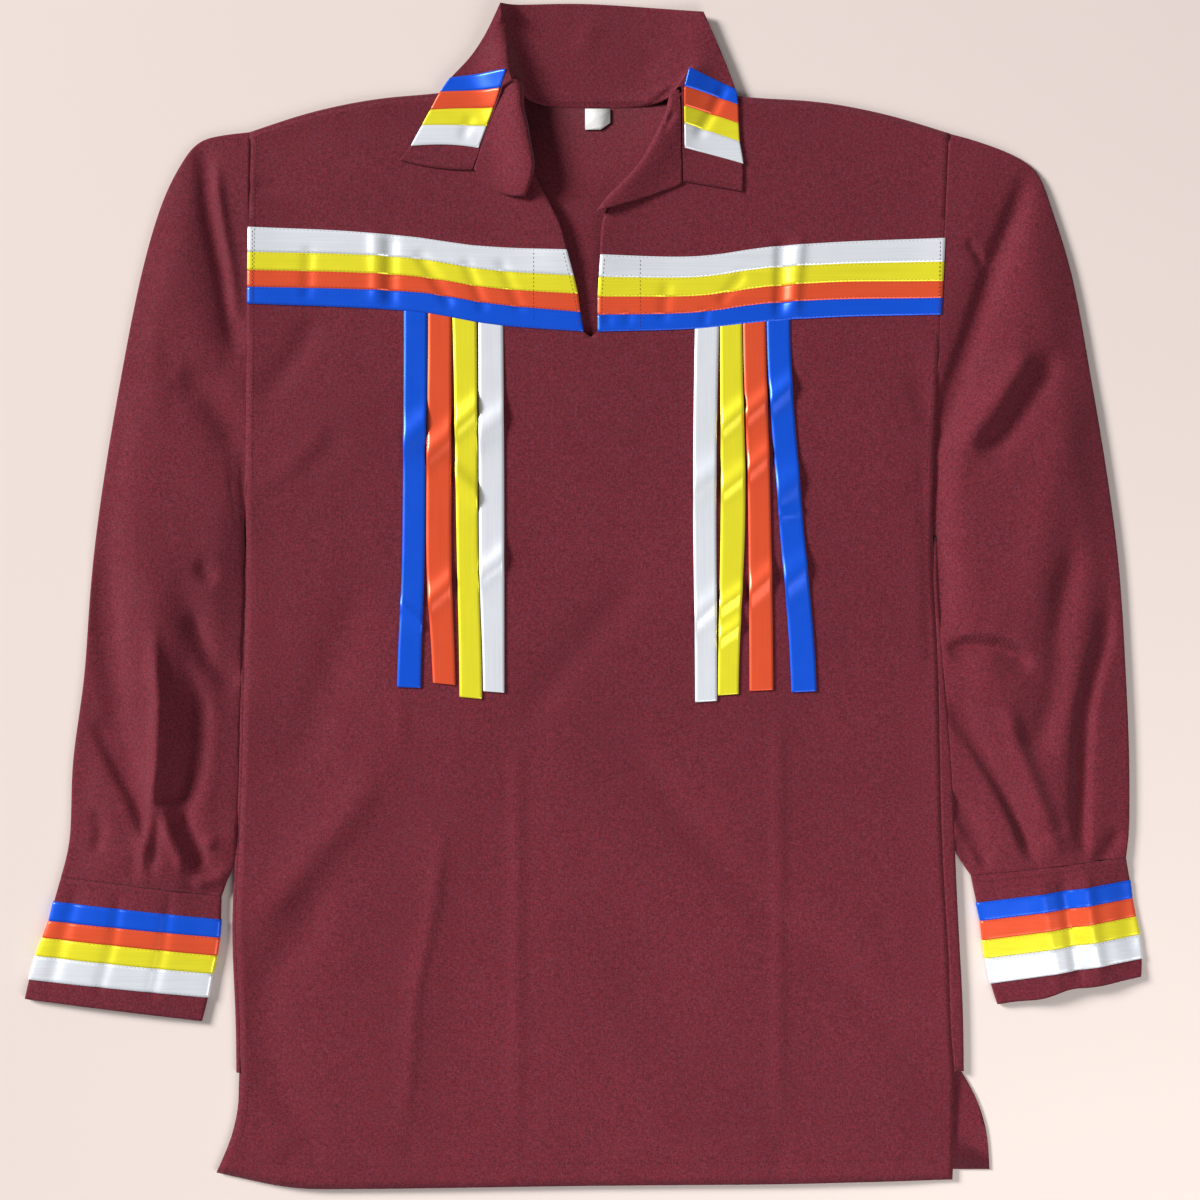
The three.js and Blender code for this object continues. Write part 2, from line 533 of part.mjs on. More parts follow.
// Two triangles for each cell of a grid of point numbers, facing up when rows run toward +Y
// and columns toward +X
function gridFaces(grid, turnedOver) {
  const faces = [];
  for (let i = 0; i < grid.length - 1; i += 1) {
    for (let j = 0; j < grid[i].length - 1; j += 1) {
      const corners = [grid[i][j], grid[i][j + 1], grid[i + 1][j + 1], grid[i + 1][j]];
      if (corners.some((corner) => corner === undefined)) continue;
      const [a, b, c, d] = corners;
      faces.push(...(turnedOver ? [[a, c, b], [a, d, c]] : [[a, b, c], [a, c, d]]));
    }
  }
  return faces;
}

// A grid of points kept with the normals of the panel that it belongs to
function panelOf(grid, points, normals) {
  return {
    points: grid.map((row) => row.map((k) => points[k])),
    normals: grid.map((row) => row.map((k) => normals[k])),
  };
}

function samplePanel(panel, i, j) {
  const [row, column] = [Math.min(Math.floor(i), panel.points.length - 2),
    Math.min(Math.floor(j), panel.points[0].length - 2)];
  const [u, v] = [i - row, j - column];
  const mix = (table) => {
    const low = table[row][column].clone().lerp(table[row][column + 1], v);
    const high = table[row + 1][column].clone().lerp(table[row + 1][column + 1], v);
    return low.lerp(high, u);
  };
  return { point: mix(panel.points), normal: mix(panel.normals).normalize() };
}

// A ribbon on a panel: the panel's own points between two rows and two columns, moved out
function ribbonMesh(name, colour, panel, rows, columns, turnedOver) {
  const inset = SEAM_GAP / 2;
  const pointAt = (i, j) => samplePanel(panel, i, j).point;
  const size = (i0, j0, i1, j1) => pointAt(i0, j0).distanceTo(pointAt(i1, j1));
  const places = (from, to, cell) => {
    const list = [from + inset / cell(from, Math.min(Math.floor(from) + 1, to))];
    for (let k = Math.floor(from) + 1; k < to - 0.05; k += 1) list.push(k);
    list.push(to - inset / cell(Math.max(Math.ceil(to) - 1, from), to));
    return list;
  };
  const middleColumn = (columns.from + columns.to) / 2;
  const middleRow = (rows.from + rows.to) / 2;
  const rowPlaces = places(rows.from, rows.to, (a, b) => size(a, middleColumn, b, middleColumn) / (b - a));
  const columnPlaces = places(columns.from, columns.to, (a, b) => size(middleRow, a, middleRow, b) / (b - a));
  const points = [];
  const normals = [];
  const grid = rowPlaces.map((i) => columnPlaces.map((j) => {
    const { point, normal } = samplePanel(panel, i, j);
    points.push(point.addScaledVector(normal, LAYER_GAP + RIBBON_WALL));
    normals.push(normal);
    return points.length - 1;
  }));
  return wallMesh(name, colour, points, gridFaces(grid, turnedOver), RIBBON_WALL, normals);
}

// Front panel
const LINE_FRACTIONS = ['edge', 'quarter', 'half', 'threeQuarter', 'centre'];

function acrossLine(line, fraction) {
  const table = LINE_FRACTIONS.map((name, k) => ({ at: k / 4, y: line[name] }));
  return valueAt(table, 'at', 'y', fraction);
}

// Every line across one half of the front, with the number of the row that each named one is
function frontRows(side) {
  const rows = [];
  const named = {};
  FRONT_LINES[side].forEach((line, k) => {
    const before = FRONT_LINES[side][k - 1];
    for (let step = 1; step < line.steps; step += 1) {
      const row = {};
      for (const name of LINE_FRACTIONS) row[name] = lerp(before[name], line[name], step / line.steps);
      rows.push(row);
    }
    named[line.name] = rows.length;
    rows.push(line);
  });
  return { rows, named };
}

function downLines(side, y) {
  const inner = valueAt(FRONT_CENTRE[side], 'y', 'x', y);
  const lines = DOWN_LINES.map((name) => valueAt(HANGING[side], 'y', name, y));
  const edge = frontEdgeX(side, y);
  const columns = [];
  for (let k = 0; k < SIDE_CELLS; k += 1) columns.push(lerp(edge, lines[0], k / SIDE_CELLS));
  columns.push(...lines);
  for (let k = 1; k <= CENTRE_CELLS; k += 1) columns.push(lerp(lines.at(-1), inner, k / CENTRE_CELLS));
  return columns;
}

function frontPoint(side, row, column) {
  let y = row.half;
  let x = 0;
  for (let pass = 0; pass < 4; pass += 1) {
    x = downLines(side, y)[column];
    const [edge, centre] = [frontEdgeX(side, y), valueAt(FRONT_CENTRE[side], 'y', 'x', y)];
    y = acrossLine(row, THREE.MathUtils.clamp((x - edge) / (centre - edge), 0, 1));
  }
  if (row.name === 'shoulder') y = shoulderY(x) - TURN_DEPTH;
  return new THREE.Vector3(x, y, frontTop(x, y));
}

function makeFront() {
  const points = [];
  const add = (point) => points.push(point) - 1;
  const columnCount = SIDE_CELLS + DOWN_LINES.length + CENTRE_CELLS;
  const grids = {};
  const named = {};
  for (const side of SIDES) {
    const lines = frontRows(side);
    named[side] = lines.named;
    grids[side] = lines.rows.map((row, i) => Array.from({ length: columnCount }, (_, j) => {
      const shared = side === 'left' && j === columnCount - 1 && i <= lines.named.slitBottom;
      return shared ? grids.right[i][j] : add(frontPoint(side, row, j));
    }));
  }
  const faces = [...gridFaces(grids.right, false), ...gridFaces(grids.left, true)];
  const normals = vertexNormals(points, faces);
  const mesh = wallMesh('front', 'maroon', points, faces, WALL, normals);
  const panels = {};
  for (const side of SIDES) panels[side] = panelOf(grids[side], points, normals);
  return { mesh, panels, named };
}

function makeChestRibbons(front) {
  const bands = [
    { colour: 'blue', bottom: 'blueBottom', top: 'redBottom' },
    { colour: 'red', bottom: 'redBottom', top: 'yellowBottom' },
    { colour: 'yellow', bottom: 'yellowBottom', top: 'whiteBottom' },
    { colour: 'white', bottom: 'whiteBottom', top: 'whiteTop' },
  ];
  return SIDES.flatMap((side) => bands.map(({ colour, bottom, top }) => ribbonMesh(
    `chest_ribbon_${side}_${colour}`,
    colour,
    front.panels[side],
    { from: front.named[side][bottom], to: front.named[side][top] },
    { from: 0, to: front.panels[side].points[0].length - 1 },
    side === 'left',
  )));
}

// Row number, with its fraction, at which a column of the front reaches a height
function rowAtHeight(panel, column, y) {
  let row = 0;
  while (panel.points[row + 1][column].y < y) row += 1;
  const [low, high] = [panel.points[row][column].y, panel.points[row + 1][column].y];
  return row + (y - low) / (high - low);
}

function makeHangingRibbons(front) {
  return SIDES.flatMap((side) => RIBBON_ORDER.map((colour, k) => {
    const column = SIDE_CELLS + 2 * k;
    const panel = front.panels[side];
    return ribbonMesh(
      `hanging_ribbon_${side}_${colour}`,
      colour,
      panel,
      { from: rowAtHeight(panel, column, HANGING_END_Y[side][colour]), to: front.named[side].blueBottom },
      { from: column, to: column + 1 },
      side === 'left',
    );
  }));
}

// Back panel: flat on the table, turned over at the sides and shoulders to meet the front
function turnPoint(step) {
  const angle = Math.PI * step / TURN_STEPS;
  return { in: TURN_RADIUS * (1 - Math.sin(angle)), up: TURN_RADIUS * (1 - Math.cos(angle)) };
}

function backSidePoint(side, y, step) {
  const turn = turnPoint(Math.min(step, TURN_STEPS));
  const lift = 1 + bodyLift(frontEdgeX(side, y), y) / EDGE_TOP;
  const x = step > TURN_STEPS
    ? frontEdgeX(side, y) + outward[side] * SEAM_GAP
    : valueAt(BACK_EDGE[side], 'y', 'x', y) - outward[side] * turn.in;
  return new THREE.Vector3(x, y, turn.up * lift);
}

function backShoulderPoint(x, step) {
  const turn = turnPoint(Math.min(step, TURN_STEPS));
  const inward = step > TURN_STEPS ? TURN_DEPTH - SEAM_GAP : turn.in;
  const lift = 1 + bodyLift(x, shoulderY(x) - TURN_DEPTH) / EDGE_TOP;
  return new THREE.Vector3(x, shoulderY(x) - inward, turn.up * lift);
}

function makeBack(front) {
  const points = [];
  const add = (point) => points.push(point) - 1;
  const steps = [...Array(TURN_STEPS + 2).keys()];
  const sides = {};
  const shoulders = {};
  const edges = {};
  for (const side of SIDES) {
    const slitTop = SIDE_TURN.slitTop[side];
    const seamHeights = front.panels[side].points.map((row) => row[0].y)
      .filter((y) => y > slitTop + 1 && y < SIDE_TURN.underarm[side] + 1);
    sides[side] = [slitTop, ...seamHeights]
      .map((y) => steps.map((step) => add(backSidePoint(side, y, step))));
    const slit = BACK_EDGE[side].filter(({ y }) => y < slitTop - 1)
      .map(({ x, y }) => add(new THREE.Vector3(x, y, 0)));
    const { underarmX, underarmY } = ARMHOLE[side];
    const underarm = add(new THREE.Vector3(underarmX, underarmY, 0));
    edges[side] = [...slit, ...sides[side].map((row) => row[0]), underarm];
    const seam = front.panels[side].points.at(-1).map((point) => point.x).sort((a, b) => a - b);
    shoulders[side] = steps.map((step) => seam.map((x) => add(backShoulderPoint(x, step))));
  }
  const neckline = BACK_NECKLINE.map(({ x, y }) => add(new THREE.Vector3(x, y, 0)));
  const outline = [...edges.right, ...shoulders.right[0], ...neckline, ...shoulders.left[0],
    ...edges.left.reverse()];
  const contour = outline.map((k) => new THREE.Vector2(points[k].x, points[k].y));
  const facesDown = ([a, b, c]) => THREE.ShapeUtils.area([a, b, c].map((k) => points[k])) < 0;
  const flat = THREE.ShapeUtils.triangulateShape(contour, [])
    .map((face) => face.map((k) => outline[k]))
    .map((face) => (facesDown(face) ? face : face.reverse()));
  const faces = [
    ...flat,
    ...gridFaces(sides.right, false),
    ...gridFaces(sides.left, true),
    ...gridFaces(shoulders.right, true),
    ...gridFaces(shoulders.left, true),
  ];
  return wallMesh('back', 'maroon', points, faces, WALL);
}

// A flattened tube between sections: turned edges, a flat underside, and a loose top
function tubePoints(section, topCells, endIn) {
  const outer = new THREE.Vector3(section.outerX, section.outerY, 0);
  const inner = new THREE.Vector3(section.innerX, section.innerY, 0);
  const width = outer.distanceTo(inner);
  const across = inner.clone().sub(outer).normalize();
  const at = (distance, up) => {
    const place = outer.clone().addScaledVector(across, distance);
    const edge = Math.min(distance, width - distance);
    const puff = section.puff * (1 - bump(edge - TURN_RADIUS, TUBE_PUFF_DISTANCE));
    const lift = up > 0 ? softFloor(puff + foldHeight(place.x, place.y)) : 0;
    return place.setZ(up * (1 + lift / EDGE_TOP));
  };
  const turn = [...Array(TURN_STEPS + 1).keys()].map(turnPoint);
  const points = turn.map((part) => at(part.in, part.up));
  for (let k = 1; k < topCells; k += 1) {
    points.push(at(lerp(TURN_RADIUS, width - TURN_RADIUS, k / topCells), EDGE_TOP));
  }
  points.push(...turn.reverse().map((part) => at(width - part.in, part.up)));
  for (let k = 1; k < TUBE_BOTTOM_CELLS; k += 1) {
    points.push(at(lerp(width - TURN_RADIUS, TURN_RADIUS, k / TUBE_BOTTOM_CELLS), 0));
  }
  return points;
}

function makeTube(name, sections, topCells, side) {
  const points = [];
  const grid = sections.map((section) => {
    const ring = tubePoints(section, topCells).map((point) => points.push(point) - 1);
    return [...ring, ring[0]];
  });
  const faces = gridFaces(grid, side === 'right');
  const normals = vertexNormals(points, faces);
  const mesh = wallMesh(name, 'maroon', points, faces, WALL, normals);
  return { mesh, panel: panelOf(grid, points, normals) };
}

function makeSleeve(side) {
  const table = SLEEVE[side].map((section, k) => ({ ...section, place: k }));
  const sections = [];
  for (let k = 0; k <= (table.length - 1) * SLEEVE_STEPS_PER_SECTION; k += 1) {
    const place = k / SLEEVE_STEPS_PER_SECTION;
    const section = {};
    for (const name of ['outerX', 'outerY', 'innerX', 'innerY', 'puff']) {
      section[name] = valueAt(table, 'place', name, place);
    }
    const out = outward[side];
    const clearX = backEdgeX(side, section.innerY) + out * SLEEVE_CLEAR;
    section.innerX = out * Math.max(out * section.innerX, out * clearX);
    sections.push(section);
  }
  return makeTube(`sleeve_${side}`, sections, SLEEVE_TOP_CELLS, side).mesh;
}

function makeCuff(side) {
  const sections = CUFF[side].map((section) => ({ ...section }));
  const { mesh, panel } = makeTube(`cuff_${side}`, sections, CUFF_TOP_CELLS, side);
  const ribbons = RIBBON_ORDER.map((colour, k) => ribbonMesh(
    `cuff_ribbon_${side}_${colour}`,
    colour,
    panel,
    { from: k + 1, to: k + 2 },
    { from: 1, to: 2 * TURN_STEPS + CUFF_TOP_CELLS - 1 },
    side === 'right',
  ));
  return [mesh, ...ribbons];
}

// Collar: flat behind the neck, rolled over the shoulders, its points on the front
function collarRoll(x, y, side) {
  const path = [...neckPath(side), ...ROLL_END[side]];
  const rollX = valueAt(path, 'y', 'x', y);
  const inside = outward[side] * (rollX - x) > 0;
  const width = inside ? COLLAR_ROLL.innerWidth : COLLAR_ROLL.outerWidth;
  return COLLAR_ROLL[side] * bump(distanceToPath(x, y, path), width);
}

function overFront(x, y) {
  return frontTop(x, Math.min(y, shoulderY(x) - TURN_DEPTH));
}

// A curve through a start, a middle and an end
function bend(start, middle, end, t) {
  return start * (1 - t) * (1 - 2 * t) + 4 * middle * t * (1 - t) + end * t * (2 * t - 1);
}

function collarPoint(section, column) {
  const roll = COLLAR_TURN[section.name];
  const seam = { x: section.seamX, y: section.seamY, column: 0 };
  const start = roll && column > 0 ? { ...roll, column: 1 } : seam;
  const t = (column - start.column) / (COLLAR_CELLS - start.column);
  const x = bend(start.x, section.midX, section.freeX, t);
  const y = bend(start.y, section.midY, section.freeY, t);
  const lap = column === 0 ? NECK_LAP * (1 - section.over) : 0;
  const lift = lap + collarRoll(x, y, sideOf(x)) + section.over * (overFront(x, y) + LAYER_GAP);
  return new THREE.Vector3(x, y, WALL + lift);
}

function makeCollar() {
  const points = [];
  const grid = COLLAR.map((section) => Array.from({ length: COLLAR_CELLS + 1 }, (_, k) => (
    points.push(collarPoint(section, k)) - 1)));
  const faces = gridFaces(grid, true);
  const normals = vertexNormals(points, faces);
  const panel = panelOf(grid, points, normals);
  const row = (name) => COLLAR.findIndex((section) => section.name === name);
  const ribbons = [
    { side: 'right', colour: 'white', from: 'rightWhiteEnd', to: 'rightYellow' },
    { side: 'right', colour: 'yellow', from: 'rightYellow', to: 'rightRed' },
    { side: 'right', colour: 'red', from: 'rightRed', to: 'rightBlue' },
    { side: 'right', colour: 'blue', from: 'rightBlue', to: 'rightBlueEnd' },
    { side: 'left', colour: 'blue', from: 'leftBlueEnd', to: 'leftBlue' },
    { side: 'left', colour: 'red', from: 'leftBlue', to: 'leftRed' },
    { side: 'left', colour: 'yellow', from: 'leftRed', to: 'leftYellow' },
    { side: 'left', colour: 'white', from: 'leftYellow', to: 'leftWhiteEnd' },
  ].map(({ side, colour, from, to }) => ribbonMesh(
    `collar_ribbon_${side}_${colour}`,
    colour,
    panel,
    { from: row(from), to: row(to) },
    { from: 1, to: COLLAR_CELLS },
    true,
  ));
  return [wallMesh('collar', 'maroon', points, faces, WALL, normals), ...ribbons];
}

// Facing: turned out over the neckline, with its rolled edge dropping inside the neck
function makeFacing(side) {
  const table = FACING[side].map((row, place) => ({ ...row, place }));
  const points = [];
  const grid = [];
  for (let i = 0; i <= 2 * (table.length - 1); i += 1) {
    const row = {};
    for (const name of ['rollX', 'rollY', 'midX', 'midY', 'seamX', 'seamY']) {
      row[name] = valueAt(table, 'place', name, i / 2);
    }
    const top = Array.from({ length: FACING_CELLS + 1 }, (_, k) => {
      const t = k / FACING_CELLS;
      const x = bend(row.rollX, row.midX, row.seamX, t);
      const y = bend(row.rollY, row.midY, row.seamY, t);
      return new THREE.Vector3(x, y, WALL + overFront(x, y) + LAYER_GAP + collarRoll(x, y, side));
    });
    const inside = -outward[side];
    const edge = top[0];
    const clearX = valueAt(FRONT_CENTRE[side], 'y', 'x', edge.y) + inside * FACING_DROP.reach;
    const reach = Math.max(inside * (clearX - edge.x), FACING_DROP.reach);
    const part = i === 0 || reach > FACING_DROP.endReach ? FACING_DROP.shortPart : 1;
    const drop = DROP_SHAPE.map(({ across, down }) => new THREE.Vector3(
      edge.x + inside * across * part * Math.min(reach, FACING_DROP.endReach),
      edge.y,
      edge.z - down * part * FACING_DROP.depth,
    ));
    grid.push([...drop, ...top].map((point) => points.push(point) - 1));
  }
  return wallMesh(`facing_${side}`, 'maroon', points, gridFaces(grid, side === 'left'), WALL);
}

function makeLabel() {
  const shape = new THREE.Shape([
    new THREE.Vector2(0, 0),
    new THREE.Vector2(LABEL.width, 0),
    new THREE.Vector2(LABEL.width, LABEL.wornHeight - LABEL.height),
    new THREE.Vector2(LABEL.width - LABEL.wornWidth, -LABEL.height),
    new THREE.Vector2(0, -LABEL.height),
  ]);
  const geometry = new THREE.ExtrudeGeometry(shape, { depth: LABEL.thickness, bevelEnabled: false });
  const material = new THREE.MeshStandardMaterial({ color: COLOURS.white, roughness: 0.6, metalness: 0 });
  const mesh = new THREE.Mesh(geometry, material);
  mesh.name = 'label';
  mesh.position.set(LABEL.x, LABEL.topY, WALL + LAYER_GAP);
  return mesh;
}

const shirt = new THREE.Group();
const front = makeFront();
shirt.add(makeBack(front), front.mesh, ...makeChestRibbons(front), ...makeHangingRibbons(front));
shirt.add(...makeCollar(), makeLabel());
for (const side of SIDES) shirt.add(makeSleeve(side), ...makeCuff(side), makeFacing(side));

export default shirt;
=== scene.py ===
"""A ribbon shirt lying flat on a pale surface: its cloth, satin ribbons and stitching."""
import math

import bmesh
import bpy
import numpy as np
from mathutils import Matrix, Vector
from mathutils.bvhtree import BVHTree


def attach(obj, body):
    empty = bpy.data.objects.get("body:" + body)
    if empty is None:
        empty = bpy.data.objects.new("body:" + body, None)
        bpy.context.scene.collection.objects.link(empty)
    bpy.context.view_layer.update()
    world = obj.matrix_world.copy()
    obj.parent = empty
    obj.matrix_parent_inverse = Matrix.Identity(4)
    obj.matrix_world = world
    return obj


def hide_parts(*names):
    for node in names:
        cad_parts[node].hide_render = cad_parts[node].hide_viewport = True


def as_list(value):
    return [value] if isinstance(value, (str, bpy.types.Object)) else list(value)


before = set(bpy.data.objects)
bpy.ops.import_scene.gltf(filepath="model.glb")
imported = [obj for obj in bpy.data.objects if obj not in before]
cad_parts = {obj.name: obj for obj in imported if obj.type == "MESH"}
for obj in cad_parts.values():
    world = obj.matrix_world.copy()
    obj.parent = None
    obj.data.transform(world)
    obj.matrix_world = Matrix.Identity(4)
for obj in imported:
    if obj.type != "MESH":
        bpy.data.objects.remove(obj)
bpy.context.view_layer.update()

MM = 0.001
SIDES = ("right", "left")
COLOURS = ("blue", "red", "yellow", "white")

# Camera: straight above the middle of the photograph, which shows 864 mm of the table
CAMERA_HEIGHT = 1600 * MM
VIEW_WIDTH = 864 * MM
VIEW_CENTRE = (11.7 * MM, -3.6 * MM)
SENSOR = 36

# Light: a large soft one from the upper left and a weak one from the lower right, placed in
# millimetres, with their power in watts
KEY = {"at": (-7700, 3700, 4500), "size": 2700, "power": 1560}
FILL = {"at": (620, -900, 950), "size": 900, "power": 10}
AMBIENT = {"colour": (0.95, 0.97, 1.0), "strength": 0.17}

# The table: half its width in metres, and how far its top lies under the cloth
FLOOR_COLOUR = (0.72, 0.62, 0.575)
FLOOR_HALF = 4
FLOOR_DROP = 0.3 * MM
FLOOR_CORNERS = ((-1, -1), (1, -1), (1, 1), (-1, 1))

# Colours in linear light
MAROON = {
    "mid": (0.150, 0.0125, 0.0206),
    "light": (0.275, 0.019, 0.029),
    "plum": (0.200, 0.040, 0.076),
    "dark": (0.050, 0.0040, 0.0100),
}
SATIN = {
    "blue": (0.004, 0.102, 0.80),
    "red": (0.90, 0.105, 0.034),
    "yellow": (0.96, 0.87, 0.030),
    "white": (0.88, 0.91, 0.96),
}
THREAD = {
    "maroon": (0.070, 0.006, 0.012),
    "blue": (0.004, 0.050, 0.42),
    "red": (0.52, 0.045, 0.014),
    "yellow": (0.62, 0.52, 0.010),
    "white": (0.60, 0.62, 0.68),
}

# Weave and noise of the materials: pitches in metres, and scales in cycles a metre along X, Y and Z
WEAVE_PITCH = 0.9 * MM
SATIN_PITCH = 0.5 * MM
TAPE_PITCH = 0.5 * MM
WARP_SCALE = (1500, 420, 700)
WEFT_SCALE = (420, 1500, 700)
HUE_SCALE = (620, 620, 620)
PATCH_SCALE = (9, 7, 9)
CLOTH_GLOSS_SCALE = (60, 60, 60)
SATIN_GLOSS_SCALE = (70, 70, 70)
STREAK_SCALE = {"X": (12, 1500, 300), "Y": (1500, 12, 300)}
TWIST_SCALE = (2500, 2500, 2500)
TAPE_COLOURS = ((0.62, 0.60, 0.58), (0.84, 0.83, 0.82))

# The part of a noise's range that a change of colour or roughness is spread over
WIDE_RANGE = (0.2, 0.8)
MIDDLE_RANGE = (0.3, 0.7)
HUE_RANGE = (0.38, 0.62)
FLECK_RANGE = (0.82, 1.2)

# Looks: roughness and its range, the strength and depth in metres of the relief, and how dark the
# darkest threads are beside the lightest
CLOTH_LOOK = {"rough": (0.78, 0.92), "specular": 0.22, "sheen": 0.12, "sheenRough": 0.45,
              "strength": 0.5, "depth": 0.16 * MM, "fleck": 0.6, "fleckRelief": 0.7, "patch": 0.22}
SATIN_LOOK = {"rough": (0.28, 0.38), "specular": 0.5, "metallic": 0.35, "strength": 0.12,
              "depth": 0.05 * MM, "dim": 0.9}
THREAD_LOOK = {"rough": 0.6, "dim": 0.6}
TAPE_LOOK = {"rough": 0.6, "strength": 0.4, "depth": 0.08 * MM}

# How finely each solid's wall is divided. Its triangles are joined where they turn less than the
# join angles, and an edge stays sharp where it turns more than the sharp one, or is a short rim
LEVELS = {"back": 2, "front": 2, "sleeve": 3, "cuff": 3, "collar": 3, "facing": 3}
RIBBON_LEVELS = 3
LABEL_LEVELS = 1
MERGE = 0.01 * MM
JOIN_TURN = math.radians(50)
JOIN_SHAPE = math.radians(75)
SHARP_TURN = math.radians(70)
RIM_LENGTH = 1.7 * MM
RIM_TURN = math.radians(35)

